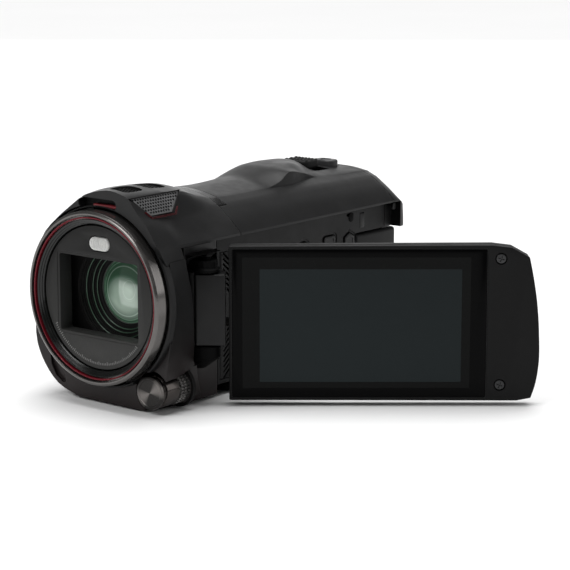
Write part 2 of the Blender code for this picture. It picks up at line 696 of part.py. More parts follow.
def zoom_lever():
    made = prism("zoom_lever", shifted(rounded_box(5.6, 4.3, 2.4), LEVER_X, 44.6), "XY",
                 67.3, 70.6, rubber_black())
    set_pivot(made, (LEVER_X, LEVER_PIVOT_Y, 0))
    bevel(made, 0.8)
    arm = box("add_lever_arm", (LEVER_X - 2.2, 30, 65.0), (LEVER_X + 2.2, 47, 66.4))
    stem = box("add_lever_stem", (LEVER_X - 3.2, 42, 65.0), (LEVER_X + 3.2, 47, 68.4))
    collar = cylinder("add_lever_collar", (LEVER_X, LEVER_PIVOT_Y, 65.0),
                      (LEVER_X, LEVER_PIVOT_Y, 66.9), 3.2, segments=20)
    bore = cylinder("cut_lever_bore", (LEVER_X, LEVER_PIVOT_Y, 60), (LEVER_X, LEVER_PIVOT_Y, 70),
                    1.65, segments=16)
    for piece in (stem, arm, collar):
        boolean(made, piece, "UNION")
    return boolean(made, bore)


def photo_button():
    made = prism("photo_button", shifted(stadium(9.6, 6.0), -1.5, 57.5), "XY", 62.0, 68.9,
                 satin_grey())
    return bevel(made, 0.6)


def record_button():
    profile = [(0, 65.2), (6.0, 65.2), (6.0, 70.0), (5.4, 70.6), (0, 70.6)]
    return turned("record_button", (-19.5, 41), profile, satin_grey(), steps=32)


def battery_latch():
    made = box("battery_latch", (-16.0, 65.4, 20.2), (-12.9, 70.6, 27.8), rubber_black())
    bevel(made, 0.5)
    tongue = box("add_latch_tongue", (-15, 63.2, 22.4), (-10.1, 65.9, 25.6))
    return boolean(made, tongue, "UNION")


# ---------------------------------------------------------------- side controls and doors

def side_buttons():
    wireless = prism("wireless_button", shifted(rounded_box(3.3, 3.3, 1.1), 29.7, 43.2), "YZ",
                     18.7, 21.9, satin_grey())
    mode = prism("mode_button", hexagon(41.4, 42.9, 3.35), "YZ", 18.9, 21.9, satin_grey())
    power = cylinder("power_button", (18.7, 15, 43.4), (21.9, 15, 43.4), 3.0, satin_grey(),
                     segments=24)
    return wireless, mode, power


def louvre_grille():
    made = box("louvre_grille", (19.8, -30.1, 5.9), (21.6, -20.9, 49.1), shell_black())
    for i in range(10):
        z = 9.4 + 4.0 * i
        slot = box("cut_louvre_%d" % i, (-10, -3.6, -0.7), (10, 3.6, 0.7))
        slot.location = Vector((21, -25.5, z)) * MM
        slot.rotation_euler = (math.radians(35), 0, 0)
        boolean(made, slot)
    return made


def card_door():
    made = box("card_door", (20.2, -14.3, 7.0), (RECESS_X, 4.7, 17.8), shell_black())
    set_pivot(made, (20.95, 0, 7.75))
    return bevel(made, 0.3)


def card_socket():
    made = box("card_socket", (7.5, -13.0, 8.6), (19.4, 4.0, 15.8), steel())
    return boolean(made, box("cut_card_slot", (9, -11.6, 11.2), (25, 2.6, 13.6)))


def terminal_door():
    made = box("terminal_door", (20.2, 10.0, 8.0), (RECESS_X, 30.2, 30.0), shell_black())
    set_pivot(made, (20.95, 29.45, 0))
    return bevel(made, 0.3)


def terminal_block():
    made = box("terminal_block", (10.0, 10.6, 8.6), (19.4, 29.6, 29.4), rubber_black())
    boolean(made, box("cut_video_socket", (13, 13, 22.6), (25, 26, 26.2)))
    boolean(made, box("cut_data_socket", (13, 13, 16.4), (25, 21, 19.4)))
    return boolean(made, cylinder("cut_av_socket", (13, 16.5, 12), (25, 16.5, 12), 1.9, segments=16))


# ---------------------------------------------------------------- inside the body

def main_board():
    made = box("main_board", (16.2, 9.0, 32.0), (17.4, 40.5, 53.5), board_green())
    chips = [((14.2, 14, 36), (16.6, 24, 46)), ((14.8, 27, 34), (16.6, 34, 41)),
             ((14.8, 27, 44), (16.6, 37, 50))]
    for i, (low, high) in enumerate(chips):
        boolean(made, box("add_chip_%d" % i, low, high), "UNION")
    return made


def speaker():
    return cylinder("speaker", (17.0, -2.2, 36.0), (19.3, -2.2, 36.0), 4.6, rubber_black(),
                    segments=20)


def fan_rotor():
    made = cylinder("fan_rotor", (13.0, -20, 12), (18.4, -20, 12), 2.2, rubber_black(),
                    segments=16)
    set_pivot(made, (0, -20, 12))
    disc = cylinder("add_fan_disc", (13.0, -20, 12), (14.0, -20, 12), 6.6, segments=24)
    boolean(made, disc, "UNION")
    for i in range(9):
        blade = box("add_fan_blade_%d" % i, (13.5, 2.0, -0.4), (18.0, 6.4, 0.4))
        blade.location = Vector((0, -20, 12)) * MM
        blade.rotation_euler = (math.tau * i / 9, 0, 0)
        boolean(made, blade, "UNION")
    return made


def tripod_bush():
    made = cylinder("tripod_bush", (0, 14, 0.2), (0, 14, 7.0), 5.0, brass(), segments=24)
    flange = cylinder("add_bush_flange", (0, 14, 2.4), (0, 14, 3.8), 8.0, segments=24)
    hole = cylinder("cut_bush_thread", (0, 14, -5), (0, 14, 5.9), 3.15, segments=20)
    boolean(made, flange, "UNION")
    return boolean(made, hole)


def cross_cut(name, x, y, low, high, reach, width):
    first = box(name + "_a", (x - reach, y - width / 2, low), (x + reach, y + width / 2, high))
    second = box(name + "_b", (x - width / 2, y - reach, low), (x + width / 2, y + reach, high))
    return boolean(first, second, "UNION")


def base_screws():
    for i, (x, y) in enumerate(BASE_SCREWS):
        made = cylinder("base_screw_%d" % (i + 1), (x, y, 0.25), (x, y, 1.1), 1.9, steel(),
                        segments=16)
        shank = cylinder("add_screw_shank_%d" % i, (x, y, 0.8), (x, y, 6.0), 1.0, segments=10)
        boolean(made, shank, "UNION")
        boolean(made, cross_cut("cut_screw_cross_%d" % i, x, y, -1, 0.75, 1.2, 0.4))


# ---------------------------------------------------------------- battery

def battery_bay():
    made = box("battery_bay", (BAY_X - 1.8, BAY_Y - 1.8, 3.2), (18.4, 66.0, BAY_Z + 1.6),
               rubber_black())
    boolean(made, box("cut_bay_room", (BAY_X, BAY_Y, -6), (45, 90, BAY_Z)))
    boolean(made, box("cut_latch_way", (-20, 62.8, 22.0), (-5, 66.3, 26.0)))
    return made


def battery():
    made = box("battery", (BAY_X + 0.6, BAY_Y + 0.5, 0.5), (RECESS_X - 0.1, 70.0, BAY_Z - 0.5),
               shell_black())
    return bevel(made, 1.2, 2)


# ---------------------------------------------------------------- hinged screen

def hinge_bracket():
    made = box("hinge_bracket", (16.0, -47.0, 14.6), (17.3, -33.0, 50.4), steel())
    bar = shifted(stadium(13.0, 8.0), HINGE_X - 2.5, HINGE_Y)
    for i, low in enumerate((16.4, 45.4)):
        lug = prism("add_hinge_lug_%d" % i, bar, "XY", low, low + 3.4)
        neck = box("add_hinge_neck_%d" % i, (16.5, HINGE_Y - 4, low), (22.0, HINGE_Y + 4, low + 3.4))
        boolean(made, lug, "UNION")
        boolean(made, neck, "UNION")
    boolean(made, cylinder("cut_lug_bore", (HINGE_X, HINGE_Y, 10), (HINGE_X, HINGE_Y, 60), 1.85,
                           segments=20))
    return made


def hinge_block():
    outline = [(6.55, -3.6), (6.55, 3.6), (6.15, 4.0), (-1.6, 4.0), (-3.2, 3.2), (-3.95, 1.6),
               (-3.95, -3.2), (-3.2, -4.0), (6.15, -4.0)]
    made = on_hinge(prism("hinge_block", outline, "XY", BLOCK_LOW, BLOCK_HIGH, satin_grey()))
    boolean(made, cylinder("cut_block_bore", (HINGE_X, HINGE_Y, 10), (HINGE_X, HINGE_Y, 60), 1.8,
                           segments=20))
    way = on_hinge(cylinder("cut_tilt_bore", (1.4, 0, TILT_Z), (20, 0, TILT_Z), 1.85, segments=20))
    return boolean(made, way)


def hinge_pin():
    made = cylinder("hinge_pin", (0, 0, 15.8), (0, 0, 49.4), 1.5, steel(), segments=20)
    made.location = Vector((HINGE_X, HINGE_Y, 0)) * MM
    return made


def tilt_pin():
    made = on_hinge(cylinder("tilt_pin", (2.0, 0, TILT_Z), (14.0, 0, TILT_Z), 1.5, steel(),
                             segments=20))
    return made


def lcd_outline(smaller=0.0):
    outline = [(x + PANEL_NEAR, z) for x, z in LCD_OUTLINE]
    return inset(outline, smaller) if smaller else outline


def lcd_back_cover():
    made = on_hinge(prism("lcd_back_cover", lcd_outline(), "XZ", -1.6, PANEL_BACK, shell_black()))
    bevel(made, 0.7)
    boolean(made, on_hinge(prism("cut_lcd_cavity", lcd_outline(1.5), "XZ", -6, 1.3)))
    way = on_hinge(cylinder("cut_pin_way", (2, 0, TILT_Z), (14.6, 0, TILT_Z), 1.85, segments=20))
    return boolean(made, way)


def lcd_front_frame():
    made = on_hinge(prism("lcd_front_frame", lcd_outline(), "XZ", PANEL_FACE, -1.9, satin_grey()))
    near = PANEL_NEAR
    bevel(made, 0.4)
    boolean(made, on_hinge(box("cut_glass_seat", (near + 0.7, -9, 2.9), (near + 85.0, -2.8, 53.3))))
    boolean(made, on_hinge(box("cut_module_way", (near + 8, -9, 8), (near + 79, 5, 49))))
    for i, (x, z) in enumerate(LCD_SCREWS):
        head = cylinder("cut_lcd_head_%d" % i, (x, -9, z), (x, -2.6, z), 2.0, segments=16)
        way = cylinder("cut_lcd_way_%d" % i, (x, -9, z), (x, 5, z), 1.1, segments=12)
        boolean(made, on_hinge(head))
        boolean(made, on_hinge(way))
    return made


def lcd_glass():
    near = PANEL_NEAR
    return on_hinge(box("lcd_glass", (near + 1.0, PANEL_FACE + 0.05, 3.2),
                        (near + 84.7, -3.1, 53.0), gloss_black()))


def lcd_module():
    near = PANEL_NEAR
    return on_hinge(box("lcd_module", (near + 8.5, -2.7, 8.5), (near + 78.5, 0.8, 48.5),
                        screen_dark()))


def lcd_screws():
    for name, (x, z) in zip(("lcd_screw_upper", "lcd_screw_lower"), LCD_SCREWS):
        made = cylinder(name, (x, -3.85, z), (x, -2.95, z), 1.65, steel(), segments=16)
        shank = cylinder("add_shank_" + name, (x, -3.2, z), (x, 0.6, z), 0.8, segments=10)
        first = box("cut_" + name + "_a", (x - 1.1, -9, z - 0.2), (x + 1.1, -3.4, z + 0.2))
        second = box("cut_" + name + "_b", (x - 0.2, -9, z - 1.1), (x + 0.2, -3.4, z + 1.1))
        for piece in (made, shank, first, second):
            on_hinge(piece)
        boolean(made, shank, "UNION")
        boolean(made, first)
        boolean(made, second)


# ---------------------------------------------------------------- hand strap

def strap_line():
    """The path of the webbing seen from above, as (x, y), from the front lug to the rear one."""
    points = []
    for i in range(21):
        y = -42.5 + 98.5 * i / 20
        share = min(max((y + 33.0) / 79.0, 0.0), 1.0)
        rise = math.sin(math.pi * share) ** 0.8
        points.append((-35.4 - 11.0 * rise, y))
    return points


def ribbon(line, thickness):
    """A closed outline of constant thickness about a path."""
    left = []
    right = []
    for i, (x, y) in enumerate(line):
        before = Vector(line[max(i - 1, 0)])
        after = Vector(line[min(i + 1, len(line) - 1)])
        along = (after - before).normalized()
        side = Vector((-along.y, along.x)) * thickness / 2
        left.append((x + side.x, y + side.y))
        right.append((x - side.x, y - side.y))
    return left + list(reversed(right))


def hand_strap():
    return prism("hand_strap", ribbon(strap_line(), 1.4), "XY", 24.0, 49.0, webbing())


def strap_pad():
    line = [(x + 2.9, y) for x, y in strap_line()[6:15]]
    return prism("strap_pad", ribbon(line, 3.6), "XY", 22.0, 51.0, webbing())


def strap_lug(name, y):
    made = box(name, (-38.2, y - 2.1, 22.0), (-27.6, y + 2.1, 51.0), steel())
    boolean(made, box("cut_" + name + "_way", (-36.6, y - 9, 23.5), (-34.2, y + 9, 49.5)))
    return made


# ---------------------------------------------------------------- assembly

def clear_scene():
    for thing in list(bpy.data.objects):
        bpy.data.objects.remove(thing)


def build():
    global PARTS, CUTTERS
    clear_scene()
    PARTS = collection("camcorder")
    CUTTERS = collection("camcorder_cutters")
    cut = shared_cutters()
    for cover_builder in (front_housing, top_cover, top_band, left_cover, right_cover, base_cover,
                          rear_cover):
        cover_builder(cut)
    for piece_builder in (lens_bezel, accent_ring, lens_mask, video_lamp, lens_barrel,
                          lens_elements, image_sensor, brow_accent, mic_grilles, function_dial,
                          function_button, zoom_well, zoom_lever, photo_button, record_button,
                          battery_latch, side_buttons, louvre_grille, card_door, card_socket,
                          terminal_door, terminal_block, main_board, speaker, fan_rotor,
                          tripod_bush, base_screws, battery_bay, battery, hinge_bracket,
                          hinge_block, hinge_pin, tilt_pin, lcd_back_cover, lcd_front_frame,
                          lcd_glass, lcd_module, lcd_screws, hand_strap, strap_pad):
        piece_builder()
    lens_cover_leaf("lens_cover_upper", 1)
    lens_cover_leaf("lens_cover_lower", -1)
    strap_lug("strap_anchor_front", -37.0)
    strap_lug("strap_anchor_rear", 50.0)


build()
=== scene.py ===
"""Looks of the hand-held camcorder: refined covers, lens, screen, controls, strap and studio.

Lengths below are in millimetres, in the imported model's frame: origin in the middle of the base,
+Z up, -Y the way the lens looks, +X the side with the hinged screen.
"""

import math

import bmesh
import bpy
from mathutils import Matrix, Vector


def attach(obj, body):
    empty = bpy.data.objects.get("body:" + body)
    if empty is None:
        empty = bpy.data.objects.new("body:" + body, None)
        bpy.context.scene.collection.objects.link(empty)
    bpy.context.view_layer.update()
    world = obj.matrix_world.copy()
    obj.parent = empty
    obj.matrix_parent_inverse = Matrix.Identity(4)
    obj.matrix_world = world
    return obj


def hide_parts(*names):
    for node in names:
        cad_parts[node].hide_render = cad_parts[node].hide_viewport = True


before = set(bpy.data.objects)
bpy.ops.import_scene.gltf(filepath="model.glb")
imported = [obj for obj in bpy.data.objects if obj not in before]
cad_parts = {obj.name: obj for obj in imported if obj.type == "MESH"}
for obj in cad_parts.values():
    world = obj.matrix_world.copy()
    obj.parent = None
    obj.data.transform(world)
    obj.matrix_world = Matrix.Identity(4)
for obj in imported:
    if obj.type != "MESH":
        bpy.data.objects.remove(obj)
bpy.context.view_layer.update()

MM = 0.001
GAP = 0.3                      # air between neighbouring covers
WALL = 2.0

LENS_Z = 37.0
FRONT_WALL_Y = -61.5
FRONT_INSIDE_Y = -59.3
REAR_INSIDE_Y = 67.3
RECESS_X = 21.7                # floor of the side recess the closed screen lies in
INSIDE_LEFT_X = RECESS_X - WALL
LEDGE_Z = 54.9
HOUSING_END_Y = -24.5
SIDE_SEAM_Y = -32.0
BACK_SEAM_Y = 62.85
BASE_SEAM_Z = 4.15

HINGE_X, HINGE_Y = 24.6, -40.6
PANEL_ANGLE = 38.75
PANEL_NEAR = 7.55
PANEL_FACE = -4.0
PANEL_BACK = 2.5
TILT_Z = 28.0

DIAL_X, DIAL_Z = 20.3, 7.5
LAMP_X, LAMP_Z = 1.1, 55.0
RECORD_X, RECORD_Z = -19.5, 41
PHOTO_X, PHOTO_Y = -1.5, 57.5
WIRELESS = (29.7, 43.2)        # side buttons, as (y, z)
MODE = (41.4, 42.9)
POWER_Y, POWER_Z = 15, 43.4
LEVER_X, LEVER_PIVOT_Y = -2.9, 30.0
BAY_X, BAY_Y, BAY_Z = -9.9, 45.3, 45.2

STRAP_START_Y, STRAP_END_Y, STRAP_Z = -42.5, 56.0, 36.5
GLASS_X, GLASS_Z = PANEL_NEAR + 42.85, 28.1

CAMERA_AZIMUTH, CAMERA_RISE = 38.75, 11.54          # degrees
CAMERA_PLACE = (0.47758, -0.56346, 0.18150)         # metres
CAMERA_LENS, CAMERA_SENSOR = 135.23, 36.0

BASE_SCREWS = [(13, -10), (-15, -18), (-16, 54)]
LCD_SCREWS = [(PANEL_NEAR + 89.2, 49.9), (PANEL_NEAR + 89.4, 7.4)]
LCD_OUTLINE = [
    (0.0, 2.2), (0.0, 54.0), (86.3, 54.4), (92.7, 53.6), (98.6, 50.3), (99.6, 45.6),
    (101.2, 36.1), (102.2, 23.7), (102.3, 15.3), (101.2, 7.5), (99.8, 2.9), (95.0, 2.0),
]

# Body sections: y, then the outline from the left foot over the top to the right foot.
FLAT_SIDE = [(15, 0), (21.4, 1.3), (22.4, 8), (23.6, 22), (25.2, 37), (26, 50), (26, 55.7), (21, 60.3)]
RIGHT_FOOT = [(-26, 8), (-20.5, 2), (-14, 0)]
SECTIONS = [
    (-66.0, [(12, 1.2), (20, 2.2), (24.5, 8), (28, 20), (29.8, 37), (27.9, 50), (26.6, 56), (22, 62.5),
        (18.2, 66.2), (14.2, 70.6), (12.6, 71.7), (5.9, 73), (-0.3, 72.2), (-5.8, 70.5), (-11.3, 66.9),
        (-25.6, 55), (-29, 50.9), (-32.3, 38.9), (-32.6, 28), (-32.3, 16.6), (-28.8, 10.2), (-22.8, 4.6),
        (-13, 1.6)]),
    (-58.0, [(14, 0.2), (20.5, 1.4), (24.6, 8), (27.2, 22), (28.4, 37), (27.2, 50), (26.3, 56), (22.4, 61),
        (18.6, 64.6), (14.4, 70.8), (13, 71.6), (5.5, 73), (-1, 72.6), (-8, 70.6), (-15, 65), (-25.2, 56.2),
        (-29.4, 50.4), (-32.4, 38.5), (-32.8, 28), (-32.4, 16.8), (-28.9, 9.4), (-22.8, 3.4), (-14, 0.2)]),
    (-50.0, [(15, 0), (21, 1.2), (23.6, 8), (25.8, 22), (26.8, 37), (26.3, 50), (26, 55.8), (21.5, 60),
        (18.2, 63.8), (14.2, 70.4), (13, 71.3), (5.5, 72.6), (-1, 72.4), (-9, 70.3), (-16.5, 64.5),
        (-25, 57), (-29.5, 50), (-32.4, 38), (-32.4, 28), (-31.2, 17.2), (-27.4, 8.4), (-21.4, 2.4),
        (-13.5, 0)]),
    (-40.0, [(15, 0), (21.4, 1.2), (22.4, 8), (24, 22), (25.5, 37), (26, 50), (26, 55.7), (21.3, 60.2),
        (17.6, 63.8), (14, 69.2), (12.8, 70.4), (5.5, 71.8), (-1, 71.8), (-9.5, 69.6), (-17, 64),
        (-24.8, 57.3), (-29.3, 50), (-32.4, 38), (-32.1, 28), (-30, 18), (-26.3, 8), (-20.6, 2.2),
        (-13.6, 0)]),
    (-30.0, [(15, 0), (21.6, 1.3), (22.4, 8), (23.6, 22), (25.2, 37), (26, 50), (26, 55.7), (21, 60.3),
        (16.6, 64), (13.4, 66.8), (12.4, 67.6), (5.5, 69.2), (-1, 69.4), (-10, 67.8), (-17.5, 63.8),
        (-24.6, 57.5), (-29, 50), (-32.4, 38), (-32, 28), (-29.6, 18), *RIGHT_FOOT]),
    (-22.0, [*FLAT_SIDE, (16, 64), (12.8, 65.6), (12.2, 65.9), (5.5, 67.5), (-1, 68.1), (-10, 67),
        (-17.8, 63.5), (-24.6, 57.5), (-29.1, 50), (-32.6, 38), (-32.2, 28), (-29.8, 18), *RIGHT_FOOT]),
    (-8.0, [*FLAT_SIDE, (15.9, 64), (12.7, 65.4), (12.2, 65.6), (5.5, 67), (-1, 67.7), (-10, 66.6),
        (-18, 63), (-24.8, 57.5), (-29.4, 50), (-33.2, 38), (-32.8, 28), (-30.2, 18), *RIGHT_FOOT]),
    (6.0, [*FLAT_SIDE, (15.8, 64), (12.7, 65.4), (12.2, 65.7), (5.5, 67.3), (-1, 68), (-10, 67.1),
        (-18, 63.4), (-25, 57.5), (-29.7, 50), (-33.4, 38), (-33, 28), (-30.4, 18), *RIGHT_FOOT]),
    (13.0, [*FLAT_SIDE, (15.8, 64), (12.8, 65.4), (12.4, 67), (6, 69), (-1, 69.6), (-10, 69), (-18, 64.4),
        (-25.2, 57.6), (-29.8, 50), (-33.4, 38), (-33, 28), (-30.4, 18), *RIGHT_FOOT]),
    (18.8, [*FLAT_SIDE, (15.8, 64), (12.9, 65.4), (12.5, 70), (6, 70.7), (-1, 70.9), (-10, 70.4),
        (-18.2, 65), (-25.4, 57.8), (-29.9, 50), (-33.4, 38), (-33, 28), (-30.4, 18), *RIGHT_FOOT]),
    (28.0, [*FLAT_SIDE, (15.8, 64), (11.4, 65.7), (11, 68.3), (6, 71), (-1, 71.2), (-10, 70.8),
        (-18.2, 65.2), (-25.5, 57.8), (-29.9, 50), (-33.3, 38), (-32.9, 28), (-30.3, 18), *RIGHT_FOOT]),
    (37.0, [*FLAT_SIDE, (15.8, 63.9), (10.4, 65.8), (9.6, 66.2), (6, 68.2), (-1, 70.8), (-10, 70.3),
        (-18.2, 65), (-25.4, 57.7), (-29.7, 50), (-33, 38), (-32.6, 28), (-30.1, 18), *RIGHT_FOOT]),
    (44.0, [*FLAT_SIDE, (15.8, 63.8), (11.4, 65.4), (10.6, 65.7), (5.8, 66.6), (-1, 68.4), (-10, 68.4),
        (-18.1, 64.4), (-25.2, 57.5), (-29.5, 50), (-32.8, 38), (-32.4, 28), (-30, 18), *RIGHT_FOOT]),
    (52.0, [*FLAT_SIDE, (15.7, 63.8), (12, 65.1), (11.4, 65.4), (5.5, 66.5), (-1, 67), (-10, 66.6),
        (-18, 63), (-24.9, 57.2), (-29.2, 50), (-32.4, 38), (-32, 28), (-29.8, 18), *RIGHT_FOOT]),
    (62.0, [(15, 0), (21.4, 1.3), (22.4, 8), (23.6, 22), (25.2, 37), (26, 50), (26, 55.6), (21, 60.1),
        (15.6, 63.7), (12, 65), (11.4, 65.3), (5.5, 66.2), (-1, 66.5), (-10, 65.8), (-18, 62.5),
        (-24.5, 56.8), (-28.8, 49.6), (-31.8, 38), (-31.4, 28), (-29.2, 18), (-25.6, 8), (-20.3, 2),
        (-14, 0)]),
    (66.6, [(15, 0.3), (21.5, 1.8), (22.4, 8), (23.6, 22), (25.2, 37), (26, 48), (26, 55.2), (20.8, 59.2),
        (15.2, 63), (12, 64.3), (11.2, 64.7), (5.5, 65.6), (-1, 65.9), (-10, 65.2), (-17.6, 62),
        (-23.8, 56.4), (-28, 49.2), (-30.8, 38), (-30.4, 28), (-28.4, 18), (-25, 8.4), (-19.8, 2.6),
        (-13, 0.4)]),
    (69.3, [(14, 1.5), (20, 3), (21.8, 8.6), (23, 22), (24.8, 37), (25.5, 46), (25.2, 53.4), (19.8, 57.4),
        (14.4, 61), (11.6, 62.3), (10.8, 62.7), (5.5, 63.6), (-1, 63.9), (-10, 63.4), (-16.6, 60.6),
        (-22.4, 55.4), (-26.4, 48.4), (-29, 38), (-28.6, 28), (-26.8, 18.6), (-23.4, 9.4), (-18.6, 4),
        (-12.4, 1.8)]),
]
SKIN_CORNERS = (0, 6, 8, 9, 10, 22)     # outline points that stay sharp


# ---------------------------------------------------------------- materials

class Nodes:
    """Builds one Principled material; lengths given in millimetres become object coordinates."""

    def __init__(self, name, roughness=0.5, metallic=0.0, specular=0.5, coat=0.0):
        self.material = bpy.data.materials.new(name)
        self.material.use_nodes = True
        self.tree = self.material.node_tree
        self.shader = self.tree.nodes["Principled BSDF"]
        for socket, value in (("Roughness", roughness), ("Metallic", metallic),
                ("Specular IOR Level", specular), ("Coat Weight", coat), ("Coat Roughness", 0.12)):
            self.shader.inputs[socket].default_value = value
        self.place = self.tree.nodes.new("ShaderNodeTexCoord").outputs["Object"]

    def node(self, kind, **settings):
        made = self.tree.nodes.new(kind)
        for key, value in settings.items():
            setattr(made, key, value)
        return made

    def join(self, source, target):
        self.tree.links.new(source, target)

    def noise(self, size, detail=2.0, stretch=(1, 1, 1)):
        """Noise with lumps about size millimetres across."""
        mapping = self.node("ShaderNodeMapping")
        mapping.inputs["Scale"].default_value = stretch
        self.join(self.place, mapping.inputs["Vector"])
        made = self.node("ShaderNodeTexNoise")
        made.inputs["Scale"].default_value = 1000.0 / size
        made.inputs["Detail"].default_value = detail
        self.join(mapping.outputs["Vector"], made.inputs["Vector"])
        return made.outputs["Fac"]

    def spread(self, value, low, high, start=0.3, end=0.7):
        """Map a value from one range to another, clamped."""
        made = self.node("ShaderNodeMapRange")
        for key, number in (("From Min", start), ("From Max", end), ("To Min", low), ("To Max", high)):
            made.inputs[key].default_value = number
        self.join(value, made.inputs["Value"])
        return made.outputs["Result"]

    def maths(self, operation, first, second=0.0):
        made = self.node("ShaderNodeMath", operation=operation)
        for socket, value in zip(made.inputs, (first, second)):
            if isinstance(value, (int, float)):
                socket.default_value = value
            else:
                self.join(value, socket)
        return made.outputs[0]

    def plus(self, first, second):
        return self.maths("ADD", first, second)

    def minus(self, first, second):
        return self.maths("SUBTRACT", first, second)

    def times(self, first, second):
        return self.maths("MULTIPLY", first, second)

    def over(self, first, second):
        return self.maths("DIVIDE", first, second)

    def length(self, first, second):
        return self.maths("SQRT", self.plus(self.maths("POWER", first, 2.0),
            self.maths("POWER", second, 2.0)))

    def axes(self, place=None):
        parts = self.node("ShaderNodeSeparateXYZ")
        self.join(place or self.place, parts.inputs[0])
        return parts.outputs["X"], parts.outputs["Y"], parts.outputs["Z"]

    def blend(self, share, first, second, kind="MIX"):
        made = self.node("ShaderNodeMix", data_type="RGBA", blend_type=kind)
        if isinstance(share, float):
            made.inputs["Factor"].default_value = share
        else:
            self.join(share, made.inputs["Factor"])
        for name, value in (("A", first), ("B", second)):
            sockets = [s for s in made.inputs if s.name == name and s.type == "RGBA"]
            if isinstance(value, tuple):
                sockets[0].default_value = (*value, 1.0)
            else:
                self.join(value, sockets[0])
        return [s for s in made.outputs if s.type == "RGBA"][0]

    def ramp(self, value, stops):
        """A colour ramp of (place, colour) stops."""
        made = self.node("ShaderNodeValToRGB")
        band = made.color_ramp
        while len(band.elements) < len(stops):
            band.elements.new(0.5)
        for element, (place, colour) in zip(band.elements, stops):
            element.position = place
            element.color = (*colour, 1.0)
        self.join(value, made.inputs["Fac"])
        return made.outputs["Color"]

    def bevel(self, radius):
        made = self.node("ShaderNodeBevel", samples=4)
        made.inputs["Radius"].default_value = radius * MM
        return made.outputs["Normal"]

    def edge(self, rounded):
        """1 on rounded-over edges and 0 on flats."""
        flat = self.node("ShaderNodeNewGeometry").outputs["Normal"]
        dot = self.node("ShaderNodeVectorMath", operation="DOT_PRODUCT")
        self.join(rounded, dot.inputs[0])
        self.join(flat, dot.inputs[1])
        return self.spread(dot.outputs["Value"], 1.0, 0.0, 0.80, 0.995)

    def bump(self, height, strength, depth, normal=None):
        made = self.node("ShaderNodeBump")
        made.inputs["Strength"].default_value = strength
        made.inputs["Distance"].default_value = depth * MM
        self.join(height, made.inputs["Height"])
        if normal is not None:
            self.join(normal, made.inputs["Normal"])
        return made.outputs["Normal"]

    def to(self, socket, value):
        self.join(value, self.shader.inputs[socket])


def scaled(colour, factor):
    return tuple(min(c * factor, 1.0) for c in colour)


def moulded(name, colour, roughness, grain=0.35, strength=0.25, edge_radius=0.25, specular=0.5, metallic=0.0,
        coat=0.0, stretch=(1, 1, 1), wear=1.9, painted_light_by_height=None):
    """Moulded plastic or cast metal: fine grain, soft handling marks and slightly worn edges;
    painted_light_by_height paints light or shade that changes the colour with height.
    """
    made = Nodes(name, roughness, metallic, specular, coat)
    rounded = made.bevel(edge_radius)
    edge = made.edge(rounded)
    cloud = made.noise(14.0, 4.0)
    fine = made.noise(grain, 2.0, stretch)
    rub = made.noise(3.2, 6.0)
    body = made.blend(made.spread(cloud, 0.0, 1.0), scaled(colour, 0.86), scaled(colour, 1.12))
    # painted light: towards the bottom the colour blends into another one
    if painted_light_by_height:
        low, high, foot = painted_light_by_height
        body = made.blend(made.spread(made.axes()[2], 0.0, 1.0, low, high), foot, body)
    speck = made.blend(made.spread(fine, 0.0, 0.35), body, scaled(colour, 1.5))
    worn = made.times(edge, made.spread(rub, 0.25, 0.85))
    made.to("Base Color", made.blend(worn, speck, scaled(colour, wear)))
    soft = made.plus(made.spread(cloud, roughness - 0.05, roughness + 0.05), made.spread(rub, -0.03, 0.04))
    made.to("Roughness", made.minus(soft, made.times(edge, 0.08)))
    made.to("Normal", made.bump(fine, strength, 0.03, rounded))
    return made.material


def turned_metal(name, colour, roughness, rings=0.22):
    """Metal or metallic paint with fine concentric tool marks about the object's own Y axis."""
    made = Nodes(name, roughness, 0.85)
    rounded = made.bevel(0.12)
    x, y, z = made.axes()
    radius = made.length(x, z)
    wave = made.maths("SINE", made.times(made.plus(radius, y), math.tau * 1000.0 / rings))
    grit = made.noise(0.5, 4.0)
    cloud = made.noise(7.0, 3.0)
    tone = made.plus(made.spread(cloud, 0.0, 0.6), made.spread(grit, 0.0, 0.4))
    made.to("Base Color", made.blend(tone, scaled(colour, 0.8), scaled(colour, 1.2)))
    made.to("Roughness", made.spread(cloud, roughness - 0.06, roughness + 0.07))
    made.to("Normal", made.bump(wave, 0.10, 0.006, rounded))
    return made.material


def brushed_cap_painted_highlights():
    """Dial cap: scratches that run out from the centre, with soft bright sectors painted into the colour as
    highlights.
    """
    made = Nodes("dial_cap_brushed_painted_highlights", 0.34, 0.7)
    made.shader.inputs["Anisotropic"].default_value = 0.6
    x, y, z = made.axes()
    angle = made.maths("ARCTAN2", z, x)
    around = made.node("ShaderNodeCombineXYZ")
    made.join(angle, around.inputs["X"])
    fine = made.node("ShaderNodeTexNoise")
    fine.inputs["Scale"].default_value = 42.0
    fine.inputs["Detail"].default_value = 3.0
    made.join(around.outputs[0], fine.inputs["Vector"])
    # painted highlight: two bright sectors that stand in for the sheen of the brushed face
    painted_highlight_sectors = made.maths("SINE", made.plus(made.times(angle, 2.0), 0.6))
    tone = made.plus(made.spread(fine.outputs["Fac"], 0.0, 0.35), made.spread(painted_highlight_sectors, -0.1, 0.75, 0.1, 1.0))
    made.to("Base Color", made.blend(tone, (0.006, 0.0055, 0.0052), (0.19, 0.175, 0.165)))
    made.to("Roughness", made.spread(fine.outputs["Fac"], 0.28, 0.42))
    made.to("Normal", made.bump(fine.outputs["Fac"], 0.25, 0.02, made.bevel(0.15)))
    return made.material


